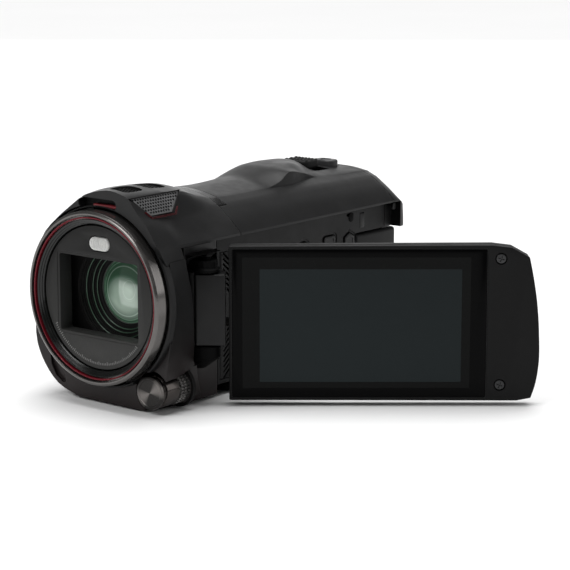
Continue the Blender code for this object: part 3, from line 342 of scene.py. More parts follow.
def glass_with_painted_reflections(name, painted_glow):
    """Front lens glass: a dark coated rim, with painted reflections: thin bright rings, a faint ghost ring
    and a pale centre.
    """
    made = Nodes(name, 0.04, 0.0, 0.65, 0.5)
    made.shader.inputs["Coat Roughness"].default_value = 0.02
    x, y, z = made.axes()
    x, z = made.times(x, 1000.0), made.times(z, 1000.0)
    low = made.plus(z, 2.4)
    radius = made.length(x, z)
    heart = made.maths("SQRT", made.plus(made.maths("POWER", x, 2.0),
        made.times(made.maths("POWER", low, 2.0), 1.3)))
    pale = scaled((0.52, 0.66, 0.55), painted_glow)
    hazy = scaled((0.27, 0.37, 0.30), painted_glow)
    mint = scaled((0.13, 0.23, 0.16), painted_glow)
    leaf = scaled((0.055, 0.125, 0.075), painted_glow)
    # painted reflection: a pale centre, set a little low
    painted_pale_centre = made.ramp(made.over(heart, 11.0), [
        (0.0, pale), (0.42, pale), (0.71, hazy), (0.78, mint), (0.85, leaf), (1.0, leaf)])
    # painted glints: thin bright rings near the rim
    rings = made.ramp(made.over(radius, 11.0), [
        (0.0, (0, 0, 0)), (0.745, (0, 0, 0)), (0.770, (0.70, 0.85, 0.74)), (0.795, (0, 0, 0)),
        (0.875, (0, 0, 0)), (0.893, (0.45, 0.72, 0.52)), (0.912, (0, 0, 0)), (0.955, (0, 0, 0)),
        (0.972, (0.35, 0.6, 0.42)), (0.99, (0, 0, 0))])
    # painted reflection: a faint ghost ring set off to one side
    aside = made.over(made.minus(x, 2.4), 0.8)
    oval = made.maths("SQRT", made.plus(made.maths("POWER", aside, 2.0),
        made.maths("POWER", made.minus(z, 0.9), 2.0)))
    painted_ghost_ring = made.ramp(made.over(oval, 10.0), [
        (0.0, (0.05, 0.06, 0.05)), (0.29, (0.03, 0.04, 0.03)), (0.32, (0.30, 0.34, 0.31)), (0.35, (0, 0, 0)),
        (0.37, (0, 0, 0)), (0.385, (0.20, 0.24, 0.21)), (0.40, (0, 0, 0))])
    painted_reflections = made.blend(0.45, painted_pale_centre, made.blend(1.0, rings, painted_ghost_ring, "ADD"), "ADD")
    # the painted reflections thin out towards the top and in patches
    cloud = made.spread(made.plus(made.noise(9.0, 2.0), made.times(z, 0.035)), 0.0, 0.55, 0.35, 0.95)
    made.to("Base Color", made.blend(cloud, painted_reflections, leaf))
    made.to("Roughness", made.spread(made.noise(3.0, 5.0), 0.03, 0.07))
    return made.material


def screen_face_painted_reflection():
    """The display itself: dark teal-grey, with a painted reflection that makes it a little lighter towards
    its lower left.
    """
    made = Nodes("screen_painted_reflection", 0.22, 0.0, 0.06)
    x, y, z = made.axes()
    # painted reflection: lighter towards the bottom and towards the hinge side
    slope = made.plus(made.spread(z, 0.6, 0.0, 0.008, 0.05), made.spread(x, 0.4, 0.0, 0.015, 0.09))
    grid = made.node("ShaderNodeTexBrick")
    grid.inputs["Scale"].default_value = 1000.0 / 0.35
    grid.inputs["Color1"].default_value = (1, 1, 1, 1)
    grid.inputs["Color2"].default_value = (1, 1, 1, 1)
    grid.inputs["Mortar"].default_value = (0.72, 0.72, 0.72, 1)
    flat = made.node("ShaderNodeCombineXYZ")
    made.join(x, flat.inputs["X"])
    made.join(z, flat.inputs["Y"])
    made.join(flat.outputs[0], grid.inputs["Vector"])
    tone = made.blend(slope, (0.0118, 0.0151, 0.0161), (0.0165, 0.0216, 0.0229))
    made.to("Base Color", made.blend(0.35, tone, grid.outputs["Color"], "MULTIPLY"))
    made.to("Roughness", made.spread(made.noise(9.0, 3.0), 0.18, 0.27))
    return made.material


def polished(name, colour, roughness, specular=0.5):
    """Gloss plastic or glass with faint smears and dust."""
    made = Nodes(name, roughness, 0.0, specular)
    smear = made.noise(11.0, 5.0, (1, 1, 3))
    dust = made.noise(0.6, 2.0)
    made.to("Base Color", made.blend(made.spread(dust, 0.0, 1.0, 0.62, 0.80), colour, scaled(colour, 2.2)))
    made.to("Roughness", made.spread(smear, roughness * 0.8, roughness * 1.7))
    made.to("Normal", made.bump(smear, 0.05, 0.01, made.bevel(0.2)))
    return made.material


def woven(name, colour, pitch=0.9, use_uv=True):
    """Narrow woven webbing; the ribs run across the band, with painted shade between the threads."""
    made = Nodes(name, 0.85, 0.0, 0.25)
    made.shader.inputs["Sheen Weight"].default_value = 0.25
    made.shader.inputs["Sheen Roughness"].default_value = 0.5
    place = made.node("ShaderNodeUVMap").outputs["UV"] if use_uv else made.place
    x, y, z = made.axes(place)
    along = made.times(x if use_uv else y, math.tau * 1000.0 / pitch)
    across = made.times(y if use_uv else z, math.tau * 1000.0 / (pitch * 1.5))
    over = made.plus(made.maths("SINE", made.plus(along, across)),
        made.maths("SINE", made.minus(along, across)))
    lint = made.noise(0.22, 3.0)
    height = made.plus(made.spread(over, 0.0, 1.0, -2.0, 2.0), made.spread(lint, 0.0, 0.35))
    # painted shade: darker in the low parts of the weave, lighter on the raised threads, with lint fuzz mixed
    # in
    made.to("Base Color", made.blend(made.spread(height, 0.0, 1.0, 0.2, 1.2), scaled(colour, 0.45),
        scaled(colour, 1.7)))
    made.to("Roughness", made.spread(lint, 0.78, 0.94))
    made.to("Normal", made.bump(height, 0.7, 0.16))
    return made.material


def make_looks():
    black = (0.0082, 0.0082, 0.0084)
    return {
        "shell": moulded("shell_satin", black, 0.40, 0.30, 0.22, 0.30, 0.20),
        # front housing: painted light makes it darker and warmer towards the foot
        "shell_front": moulded("shell_front", black, 0.38, 0.30, 0.22, 0.30, 0.24,
                               painted_light_by_height=(0.006, 0.030, (0.0110, 0.0058, 0.0055))),
        "shell_fine": moulded("shell_fine", (0.0065, 0.0065, 0.0067), 0.45, 0.22, 0.16, 0.22, 0.18),
        "band": polished("band_gloss", (0.004, 0.004, 0.0042), 0.24, 0.12),
        "shell_side": moulded("shell_side", (0.0075, 0.0075, 0.0077), 0.50, 0.22, 0.14, 0.22, 0.16),
        "lid": moulded("lid_satin", (0.0034, 0.0034, 0.0035), 0.46, 0.30, 0.18, 0.25, 0.10),
        "satin": moulded("satin_controls", (0.0085, 0.0085, 0.0087), 0.40, 0.25, 0.15, 0.22, 0.2),
        "button": moulded("button_satin", (0.030, 0.030, 0.031), 0.40, 0.25, 0.12, 0.25, 0.3),
        "print": moulded("print_pale", (0.21, 0.21, 0.205), 0.50, 0.3, 0.1, 0.05, 0.3),
        # deep black: the own colour of the hinge bracket and pin, and painted shade on the hinge knuckles and
        # the recess hole
        "pit": moulded("deep_black_and_painted_shade", (0.0016, 0.0016, 0.0017), 0.6, 0.4, 0.2, 0.15, 0.06),
        "dark": moulded("inner_dark", (0.0035, 0.0033, 0.0033), 0.55, 0.4, 0.25, 0.15, 0.15),
        "rubber": moulded("rubber_matt", (0.007, 0.007, 0.007), 0.62, 0.3, 0.35, 0.2, 0.2),
        "frame": moulded("screen_frame", (0.0060, 0.0060, 0.0061), 0.50, 0.28, 0.2, 0.18, 0.12),
        # lens mask: painted light makes it lighter towards the bottom
        "mask": moulded("mask_matt", (0.0105, 0.0105, 0.0102), 0.55, 0.3, 0.3, 0.15, 0.22,
                        painted_light_by_height=(0.016, 0.052, (0.040, 0.040, 0.0385))),
        "bezel": turned_metal("bezel_gunmetal", (0.120, 0.114, 0.110), 0.19),
        "ring_red": moulded("ring_red", (0.125, 0.006, 0.012), 0.28, 0.5, 0.08, 0.1, 0.25, 0.3, 0.08),
        "throat": polished("lens_throat", (0.0035, 0.0040, 0.0037), 0.16, 0.35),
        # dark grey with a green tint: painted reflection of green light
        "bevel_green": moulded("bevel_greygreen_painted_reflection", (0.050, 0.058, 0.052), 0.36, 0.3, 0.1, 0.15),
        # mint: painted glints on the barrel steps
        "bevel_mint": moulded("bevel_mint", (0.050, 0.105, 0.066), 0.30, 0.3, 0.1, 0.1, 0.6),
        "trim_red": moulded("trim_red", (0.13, 0.006, 0.010), 0.34, 0.4, 0.1, 0.12, 0.5, 0.3),
        "line_red": moulded("line_darkred", (0.055, 0.005, 0.007), 0.45, 0.4, 0.1, 0.1, 0.2),
        "lamp": moulded("lamp_lens", (0.47, 0.475, 0.46), 0.24, 0.6, 0.06, 0.2, 0.5, 0.0, 0.4),
        # lens glass with painted reflections
        "glass": glass_with_painted_reflections("lens_coated_painted_reflections", 0.85),
        "glass_deep": glass_with_painted_reflections("lens_deep_painted_reflections", 0.4),
        "screen": screen_face_painted_reflection(),
        "screen_border": polished("screen_border", (0.0012, 0.0012, 0.0013), 0.10, 0.045),
        "screen_margin": polished("screen_margin", (0.0026, 0.0028, 0.0027), 0.14, 0.07),
        "steel": moulded("brushed_steel", (0.42, 0.42, 0.43), 0.34, 0.25, 0.2, 0.12, 0.5, 1.0,
                         0.0, (1, 14, 1), 1.2),
        "screw": moulded("screw_black", (0.035, 0.035, 0.036), 0.38, 0.3, 0.2, 0.1, 0.5, 0.8),
        "mesh": moulded("mic_mesh", (0.21, 0.21, 0.213), 0.36, 0.3, 0.1, 0.05, 0.5, 0.8, 0.0,
                        (1, 1, 1), 1.2),
        "mesh_dark": moulded("mic_mesh_dark", (0.0016, 0.0016, 0.0017), 0.6, 0.3, 0.1, 0.05, 0.05),
        "brass": moulded("bush_brass", (0.52, 0.38, 0.16), 0.34, 0.4, 0.15, 0.15, 0.5, 1.0, 0.0,
                         (1, 1, 6), 1.2),
        "board": moulded("board_green", (0.018, 0.10, 0.05), 0.42, 0.8, 0.3, 0.1),
        "cap": brushed_cap_painted_highlights(),
        "collar": turned_metal("dial_collar", (0.050, 0.044, 0.041), 0.16, 0.35),
        "knurl": turned_metal("dial_knurl", (0.16, 0.155, 0.150), 0.30, 0.3),
        "webbing": woven("strap_webbing", (0.020, 0.020, 0.022)),
        "pad": woven("pad_fabric", (0.016, 0.016, 0.018), 1.1, False),
        "thread": woven("stitch_thread", (0.060, 0.060, 0.062), 0.35, False),
    }


LOOK = make_looks()


# ---------------------------------------------------------------- mesh helpers

def new_object(name, mesh):
    made = bpy.data.objects.new(name, mesh)
    bpy.context.scene.collection.objects.link(made)
    return made


def close_mesh(name, builder):
    """A mesh object from closed shells, with every shell's faces looking outwards."""
    bmesh.ops.recalc_face_normals(builder, faces=builder.faces)
    if builder.calc_volume(signed=True) < 0:
        bmesh.ops.reverse_faces(builder, faces=builder.faces)
    mesh = bpy.data.meshes.new(name)
    builder.to_mesh(mesh)
    builder.free()
    return new_object(name, mesh)


def bake(thing):
    """Replace the mesh by what the modifiers make of it."""
    graph = bpy.context.evaluated_depsgraph_get()
    mesh = bpy.data.meshes.new_from_object(thing.evaluated_get(graph))
    thing.modifiers.clear()
    old = thing.data
    thing.data = mesh
    bpy.data.meshes.remove(old)
    return thing


def drop(thing):
    mesh = thing.data
    bpy.data.objects.remove(thing)
    bpy.data.meshes.remove(mesh)


def carve(thing, tools, operation="DIFFERENCE", keep=False):
    """Cut, join or intersect a shape with others, then drop those unless they are kept."""
    for tool in tools:
        step = thing.modifiers.new("carve", "BOOLEAN")
        step.operation = operation
        step.solver = "EXACT"
        step.object = tool
    bake(thing)
    if not keep:
        for tool in tools:
            drop(tool)
    return thing


def bevel(thing, width, segments=3, angle=35):
    step = thing.modifiers.new("edge", "BEVEL")
    step.width = width * MM
    step.segments = segments
    step.limit_method = "ANGLE"
    step.angle_limit = math.radians(angle)
    step.use_clamp_overlap = True
    return bake(thing)


def join(name, things):
    """Several closed shells as one object; the first one's place is kept."""
    first = things[0]
    builder = bmesh.new()
    bpy.context.view_layer.update()
    home = first.matrix_world.inverted()
    for thing in things:
        part = thing.data.copy()
        part.transform(home @ thing.matrix_world)
        builder.from_mesh(part)
        bpy.data.meshes.remove(part)
    mesh = bpy.data.meshes.new(name)
    builder.to_mesh(mesh)
    builder.free()
    for thing in things[1:]:
        drop(thing)
    old = first.data
    first.data = mesh
    bpy.data.meshes.remove(old)
    first.name = name
    return first


def piece(thing, slot, look, *nodes, body="camera_body", smooth=30):
    """Give a finished shape its material and its body, and hide the CAD nodes it stands for."""
    thing.data.materials.clear()
    for material in (look if isinstance(look, (list, tuple)) else [look]):
        thing.data.materials.append(LOOK[material])
    for face in thing.data.polygons:
        face.use_smooth = True
    thing.data.set_sharp_from_angle(angle=math.radians(smooth))
    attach(thing, body)
    if nodes:
        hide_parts(*nodes)
    return thing


def spot(plane, u, v, w):
    """A point given by two coordinates in a plane and its height over it."""
    return {"XY": (u, v, w), "YZ": (w, u, v), "XZ": (u, w, v)}[plane]


def add_shell(builder, outlines):
    """A closed shell through outlines of equal length, given as points in millimetres."""
    rings = [[builder.verts.new(Vector(point) * MM) for point in outline] for outline in outlines]
    builder.faces.new(rings[0])
    builder.faces.new(list(reversed(rings[-1])))
    for first, second in zip(rings, rings[1:]):
        for i in range(len(first)):
            j = (i + 1) % len(first)
            builder.faces.new((first[i], first[j], second[j], second[i]))


def shell(name, outlines):
    """A piece made of one closed shell."""
    builder = bmesh.new()
    add_shell(builder, outlines)
    return close_mesh(name, builder)


def prism(name, outline, plane, low, high):
    """An outline in one plane, stood between two heights."""
    return shell(name, [[spot(plane, u, v, w) for u, v in outline] for w in (low, high)])


def block(name, low, high):
    """A cutter or the rough start of a piece."""
    return prism(name, [(low[0], low[1]), (high[0], low[1]), (high[0], high[1]), (low[0], high[1])], "XY",
        low[2], high[2])


def rod(name, start, end, radius, steps=48):
    """A round bar between two points."""
    start, end = Vector(start), Vector(end)
    along = end - start
    turn = along.to_track_quat("Z", "Y").to_matrix().to_4x4()
    builder = bmesh.new()
    bmesh.ops.create_cone(builder, cap_ends=True, segments=steps, radius1=radius * MM, radius2=radius * MM,
        depth=along.length * MM, matrix=Matrix.Translation((start + end) / 2 * MM) @ turn)
    return close_mesh(name, builder)


def bar(name, plane, u, v, low, high, radius, steps=48):
    """A round bar square to a plane, between two heights over it."""
    return rod(name, spot(plane, u, v, low), spot(plane, u, v, high), radius, steps)


def turned(name, centre, profile, steps=96, reach=None):
    """A turned piece about a line along Y; its object sits on that line, at y = 0.

    reach, if given, changes a radius by angle: reach(radius, y, angle).
    """
    builder = bmesh.new()
    rows = []
    for radius, y in profile:
        if radius == 0:
            rows.append([builder.verts.new((0, y * MM, 0))])
            continue
        row = []
        for i in range(steps):
            angle = math.tau * i / steps
            r = reach(radius, y, angle) if reach else radius
            row.append(builder.verts.new((r * math.cos(angle) * MM, y * MM, r * math.sin(angle) * MM)))
        rows.append(row)
    pairs = list(zip(rows, rows[1:]))
    if profile[0][0] != 0:
        pairs.append((rows[-1], rows[0]))
    for first, second in pairs:
        for i in range(steps):
            j = (i + 1) % steps
            corners = []
            for vertex in (first[i % len(first)], first[j % len(first)], second[j % len(second)],
                    second[i % len(second)]):
                if vertex not in corners:
                    corners.append(vertex)
            if len(corners) > 2:
                builder.faces.new(corners)
    made = close_mesh(name, builder)
    made.location = (centre[0] * MM, 0, centre[1] * MM)
    bpy.context.view_layer.update()
    return made


def place(thing, point, *turns):
    """Move a shape's own mesh to a point, after turning it about the given axes (last one first)."""
    move = Matrix.Translation(Vector(point) * MM)
    for angle, axis in turns:
        move = move @ Matrix.Rotation(angle, 4, axis)
    thing.data.transform(move)
    return thing


def on_hinge(thing):
    """Stand a piece drawn about the hinge axis at the angle of the open screen."""
    thing.location = (HINGE_X * MM, HINGE_Y * MM, 0.0)
    thing.rotation_euler = (0.0, 0.0, math.radians(PANEL_ANGLE))
    bpy.context.view_layer.update()
    return thing


def stadium(length, width, steps=12):
    """An outline with two straight sides and two round ends."""
    radius = width / 2
    reach = length / 2 - radius
    return [(side * (reach + radius * math.cos(angle)), side * radius * math.sin(angle))
            for side in (1, -1)
            for angle in [math.radians(-90 + 180 * i / steps) for i in range(steps + 1)]]


def rounded_box(half_u, half_v, radius, steps=8):
    """A rectangle with rounded corners, centred on the origin."""
    points = []
    for cu, cv, start in ((1, 1, 0), (-1, 1, 90), (-1, -1, 180), (1, -1, 270)):
        for i in range(steps + 1):
            angle = math.radians(start + 90 * i / steps)
            points.append((cu * (half_u - radius) + radius * math.cos(angle),
                cv * (half_v - radius) + radius * math.sin(angle)))
    return points


def box_at(u, v, half_u, half_v, radius):
    return [(a + u, b + v) for a, b in rounded_box(half_u, half_v, radius)]


def slot_at(u, v, length, width, steps=12):
    return [(a + u, b + v) for a, b in stadium(length, width, steps)]


def hexagon(u, v, radius, start=30):
    return [(u + radius * math.cos(math.radians(start + 60 * i)),
        v + radius * math.sin(math.radians(start + 60 * i))) for i in range(6)]


def inset(outline, distance):
    """The outline moved inwards by a distance, or outwards if it is negative."""
    count = len(outline)
    area = sum(outline[i][0] * outline[(i + 1) % count][1] - outline[(i + 1) % count][0] * outline[i][1]
        for i in range(count))
    sign = 1.0 if area > 0 else -1.0
    moved = []
    for i, (x, z) in enumerate(outline):
        before = Vector(outline[i]) - Vector(outline[i - 1])
        after = Vector(outline[(i + 1) % count]) - Vector(outline[i])
        first = Vector((-before.y, before.x)).normalized() * sign
        second = Vector((-after.y, after.x)).normalized() * sign
        bisector = (first + second).normalized()
        reach = min(distance / max(bisector.dot(first), 0.4), distance * 1.6)
        moved.append((x + bisector.x * reach, z + bisector.y * reach))
    return moved


def hermite(t, start, end, start_slope, end_slope):
    return (start * (2 * t ** 3 - 3 * t ** 2 + 1) + start_slope * (t ** 3 - 2 * t ** 2 + t)
            + end * (3 * t ** 2 - 2 * t ** 3) + end_slope * (t ** 3 - t ** 2))


def curved(points, corners, steps, closed=False):
    """More points along a line, curved through the given ones and sharp at the corners."""
    count = len(points)
    points = [Vector(p) for p in points]
    last = count if closed else count - 1
    spans = [(points[(i + 1) % count] - points[i]).length for i in range(last)]

    def slope(i, ahead):
        here = i % count
        previous, following = spans[here - 1], spans[here % last]
        out = (points[(here + 1) % count] - points[here]) / following
        back = (points[here] - points[here - 1]) / previous
        if here in corners or (not closed and here in (0, count - 1)):
            return out if ahead else back
        return (back * following + out * previous) / (previous + following)

    fine = []
    for i in range(last):
        a, b, h = points[i], points[(i + 1) % count], spans[i]
        ma = slope(i, True) * h
        mb = slope(i + 1, False) * h
        fine += [tuple(hermite(k / steps, a, b, ma, mb)) for k in range(steps)]
    if not closed:
        fine.append(tuple(points[-1]))
    return fine


# ---------------------------------------------------------------- body skin

def plain_section(y):
    """The outline at a station, straight between the listed sections."""
    for (y0, first), (y1, second) in zip(SECTIONS, SECTIONS[1:]):
        if y <= y1:
            share = (y - y0) / (y1 - y0)
            return [(a[0] + (b[0] - a[0]) * share, a[1] + (b[1] - a[1]) * share)
                    for a, b in zip(first, second)]
    return SECTIONS[-1][1]


def along_values(values):
    """Slopes for a curve along y that never overshoots the listed values."""
    stations = [y for y, _ in SECTIONS]
    steps = [b - a for a, b in zip(stations, stations[1:])]
    rise = [(b - a) / h for a, b, h in zip(values, values[1:], steps)]
    slopes = [rise[0]]
    for i in range(1, len(rise)):
        if rise[i - 1] * rise[i] <= 0:
            slopes.append(0.0)
        else:
            w1 = 2 * steps[i] + steps[i - 1]
            w2 = steps[i] + 2 * steps[i - 1]
            slopes.append((w1 + w2) / (w1 / rise[i - 1] + w2 / rise[i]))
    slopes.append(rise[-1])
    return slopes


def skin_rows(step=1.6):
    """Fine outlines of the body, front to back."""
    stations = [y for y, _ in SECTIONS]
    count = len(SECTIONS[0][1])
    tables = [[[outline[i][k] for _, outline in SECTIONS] for i in range(count)] for k in (0, 1)]
    slopes = [[along_values(values) for values in table] for table in tables]
    rows = []
    for s, (y0, y1) in enumerate(zip(stations, stations[1:])):
        parts = max(2, round((y1 - y0) / step))
        for k in range(parts + (s == len(stations) - 2)):
            t = k / parts
            h = y1 - y0
            outline = []
            for i in range(count):
                pair = []
                for axis in (0, 1):
                    values, slope = tables[axis][i], slopes[axis][i]
                    pair.append(hermite(t, values[s], values[s + 1], slope[s] * h, slope[s + 1] * h))
                outline.append(tuple(pair))
            rows.append((y0 + h * t, curved(outline, SKIN_CORNERS, 3)))
    return rows


def loft(name, rows):
    """A closed skin through outlines at stations along y."""
    builder = bmesh.new()
    rings = [[builder.verts.new((x * MM, y * MM, z * MM)) for x, z in outline] for y, outline in rows]
    for first, second in zip(rings, rings[1:]):
        for i in range(len(first)):
            j = (i + 1) % len(first)
            builder.faces.new((first[i], first[j], second[j], second[i]))
    builder.faces.new(rings[0])
    builder.faces.new(list(reversed(rings[-1])))
    return close_mesh(name, builder)


def copy_of(thing, name):
    return new_object(name, thing.data.copy())


def body_hollow():
    """The room inside the covers."""
    rows = []
    for y in [FRONT_INSIDE_Y, -56.6, -55.2, -50, -40, -30, -22, -8, 6, 13, 18.8, 28, 37, 44, 52, 62,
            REAR_INSIDE_Y]:
        outline = inset(plain_section(y), WALL)
        if y > -56:
            outline = [(min(x, INSIDE_LEFT_X), z) for x, z in outline]
        rows.append((y, outline))
    made = loft("cut_hollow", rows)
    return carve(made, [bar("cut_dial_boss", "XZ", DIAL_X, DIAL_Z, -75, -47.7, 8.7)])


SKIN = loft("body_skin", skin_rows())
HOLLOW = body_hollow()
RECESS = prism("cut_recess", [
    (-54.8, LEDGE_Z), (-52.8, 50), (-50.6, 40.3), (-48.0, 24), (-43.0, 9), (-39.0, -2),
    (66.9, -2), (66.9, LEDGE_Z)], "YZ", RECESS_X, 45)
BAY = block("cut_bay", (BAY_X - 0.1, BAY_Y + 0.1, -6), (45, 90, BAY_Z + 0.2))


def cover(name, low, high, recess=True):
    """A cover: the part of the hollow body between two corners."""
    made = copy_of(SKIN, name)
    carve(made, [block("region", low, high)], "INTERSECT")
    carve(made, [HOLLOW] + ([RECESS] if recess else []), keep=True)
    return made


def mic_side_outline(smaller):
    """Outline of the microphone mesh beside the shoulder, as (y, distance up the slope)."""
    return [(-65.9 + smaller * 1.3, 4.4 - smaller), (-41.3 - smaller * 1.2, 4.4 - smaller),
            (-49.2 - smaller * 0.5, -3.1 + smaller), (-60.0 + smaller * 0.5, -3.1 + smaller)]


def on_shoulder(thing):
    """Lay a piece drawn in the YZ plane on the shoulder beside the microphone block."""
    place(thing, (0, 0, 0), (math.radians(-34), "Y"))
    thing.location = Vector((16.4, 0, 67.6)) * MM
    bpy.context.view_layer.update()
    return thing


def ring_groove(name, radius, low, high, width, depth_from, depth_to):
    """A cutter for a fine groove that follows the lens rim between two angles, in degrees."""
    steps = 40
    inner, outer = [], []
    for i in range(steps + 1):
        angle = math.radians(low + (high - low) * i / steps)
        for line, r in ((inner, radius - width / 2), (outer, radius + width / 2)):
            line.append((r * math.cos(angle), LENS_Z + r * math.sin(angle)))
    return prism(name, inner + outer[::-1], "XZ", depth_from, depth_to)


def make_front_housing():
    made = cover("front_housing_shell", (-60, -80, -5), (60, HOUSING_END_Y, 90))
    carve(made, [
        bar("c1", "XZ", 0, LENS_Z, -80, FRONT_WALL_Y, 30.6, 128),
        bar("c2", "XZ", 0, LENS_Z, -80, -50, 26.1, 96),
        prism("c3", [(-80, -5), (-62.6, -5), (-62.6, 49), (-66.4, 57.5), (-80, 57.5)], "YZ", -60, 60),
        prism("c4", box_at(0.0, 68.1, 8.4, 1.8, 1.7), "XZ", -80, -62.4),
        bar("c5", "XZ", DIAL_X, DIAL_Z, -80, -49.2, 7.2, 64),
        bar("c6", "XZ", DIAL_X, DIAL_Z, -52, -43, 1.45, 24),
        prism("c7", box_at(-33.65, 32.5, 13.65, 18.5, 3.2), "YZ", 17.9, 40),
        block("c8", (15, SIDE_SEAM_Y, -1), (45, -20, LEDGE_Z)),
        block("c9", (-5.4, -63.3, 60), (11.2, -37.4, 70.3)),
        prism("c10", box_at(6.0, -58.6, 4.1, 4.75, 2.4), "XY", 60, 90),
        prism("c11", box_at(4.6, -46.0, 4.1, 4.75, 2.4), "XY", 60, 90),
        on_shoulder(prism("c12", mic_side_outline(0.0), "YZ", -6, 9)),
        block("c13", (-45, -39.4, 21.7), (-27, -34.6, 51.3)),
    ])
    # moulding lines on the face: the seam round the lens and the pocket at its lower side
    carve(made, [ring_groove("g1", 32.9, -26, 34, 0.35, -70, -60.9),
        prism("g2", [(-26.2, 13.6), (-25.8, 10.2), (-23.8, 6.8), (-20.8, 4.7), (-19.2, 5.0), (-19.3, 7.6),
        (-22.4, 10.6), (-25.0, 13.9)], "XZ", -70, -61.5), on_shoulder(prism("g3", mic_side_outline(-0.9),
        "YZ", 0.55, 9))])
    return piece(made, "shell_black", "shell_front", "front_housing", smooth=26)


def make_seam():
    """The dark joint between the shoulder and the plate round the hinge window."""
    lines = []
    for low, high in (((20, -61.8, 51.1), (40, -53.3, 51.35)), ((20, -53.5, 51.2), (40, -53.25, 54.9)),
            ((20, -53.4, 54.7), (40, -39.9, 54.95))):
        line = copy_of(SKIN, "seam")
        carve(line, [block("region", low, high)], "INTERSECT")
        lines.append(place(line, (0.07, 0, 0)))
    piece(join("housing_seam", lines), "shell_black", "dark")


def make_covers():
    """The seven covers of the body and the gloss band."""
    make_front_housing()
    make_seam()
    top = cover("top_cover_shell", (-60, HOUSING_END_Y + GAP, LEDGE_Z), (60, BACK_SEAM_Y - GAP, 90))
    carve(top, [
        block("c1", (-14.3, -40, 58), (16.6, -20.3, 90)),
        block("c2", (-11.0, 38.0, 60), (5.2, 51.2, 90)),
        prism("c3", slot_at(PHOTO_X, PHOTO_Y, 10.3, 6.7), "XY", 55, 90),
    ])
    piece(top, "shell_black", "shell", "top_cover", smooth=26)

    band = cover("top_band_gloss", (-14, HOUSING_END_Y + GAP, 60), (16.3, -20.6, 90), False)
    piece(band, "gloss_black", "band", "top_band", smooth=26)

    left = cover("left_cover_shell", (15, SIDE_SEAM_Y + GAP, BASE_SEAM_Z + GAP / 2),
        (60, BACK_SEAM_Y - GAP, LEDGE_Z - GAP))
    tools = [
        copy_of(BAY, "c0"),
        prism("c1", box_at(*WIRELESS, 3.65, 3.65, 1.4), "YZ", 15, 30),
        prism("c2", hexagon(*MODE, 3.75), "YZ", 15, 30),
        bar("c3", "YZ", POWER_Y, POWER_Z, 15, 30, 3.35),
        block("c4", (15, -30.4, 5.6), (30, -20.6, 49.4)),
        block("c5", (15, -14.6, 6.3), (30, 5.0, 18.1)),
        block("c6", (15, 9.7, 7.7), (30, 31.0, 30.3)),
        # shallow moulded details of the recess floor
        prism("c7", box_at(*WIRELESS, 4.4, 4.4, 1.9), "YZ", RECESS_X - 0.25, 30),
        prism("c8", hexagon(*MODE, 4.5), "YZ", RECESS_X - 0.3, 30),
        prism("c9", slot_at(41.8, 52.6, 4.0, 1.2), "YZ", RECESS_X - 1.0, 30),
        prism("c10", box_at(49.0, 50.0, 1.25, 2.5, 0.4), "YZ", RECESS_X - 0.5, 30),
        bar("c11", "YZ", POWER_Y, POWER_Z, RECESS_X - 0.25, 30, 4.1),
    ]
    for row in range(3):
        for column in range(3):
            y, z = -4.6 + column * 2.4, 33.6 + row * 2.4
            tools.append(bar("s%d%d" % (row, column), "YZ", y, z, 15, 30, 0.6, 16))
    carve(left, tools)
    piece(left, "shell_black", "shell_side", "left_cover", smooth=26)

    right = cover("right_cover_shell", (-60, HOUSING_END_Y + GAP, BASE_SEAM_Z + GAP / 2),
        (0, BACK_SEAM_Y - GAP, LEDGE_Z - GAP))
    carve(right, [block("c1", (-45, 47.6, 21.7), (-27, 52.4, 51.3))])
    piece(right, "shell_black", "shell", "right_cover", smooth=26)

    base = cover("base_cover_shell", (-60, HOUSING_END_Y + GAP, -5),
        (60, BACK_SEAM_Y - GAP, BASE_SEAM_Z - GAP / 2))
    tools = [copy_of(BAY, "c0"), bar("c1", "XY", 0, 14, -5, 5, 5.35)]
    for i, (x, y) in enumerate(BASE_SCREWS):
        tools += [bar("h%d" % i, "XY", x, y, -5, 1.4, 2.25), bar("w%d" % i, "XY", x, y, -5, 5, 1.35)]
    # moulded foot ribs
    for i in range(4):
        tools.append(prism("f%d" % i, slot_at(0, -6 - 3.2 * i, 16, 1.2), "XY", -5, 0.35))
    carve(base, tools)
    piece(base, "shell_black", "shell", "base_cover", smooth=26)

    rear = cover("rear_cover_shell", (-60, BACK_SEAM_Y, -5), (60, 90, 90))
    carve(rear, [
        copy_of(BAY, "c0"),
        bar("c1", "XZ", RECORD_X, RECORD_Z, 60, 90, 6.35, 64),
        block("c2", (-18.6, 60, 19.6), (-12.6, 90, 28.4)),
    ])
    piece(rear, "shell_black", "shell", "rear_cover", smooth=26)


# ---------------------------------------------------------------- lens end

def arc(centre_r, centre_y, radius, start, end, steps=5):
    """Profile points on a rounded corner, as (radius, y)."""
    return [(centre_r + radius * math.cos(math.radians(start + (end - start) * i / steps)),
        centre_y + radius * math.sin(math.radians(start + (end - start) * i / steps)))
        for i in range(steps + 1)]


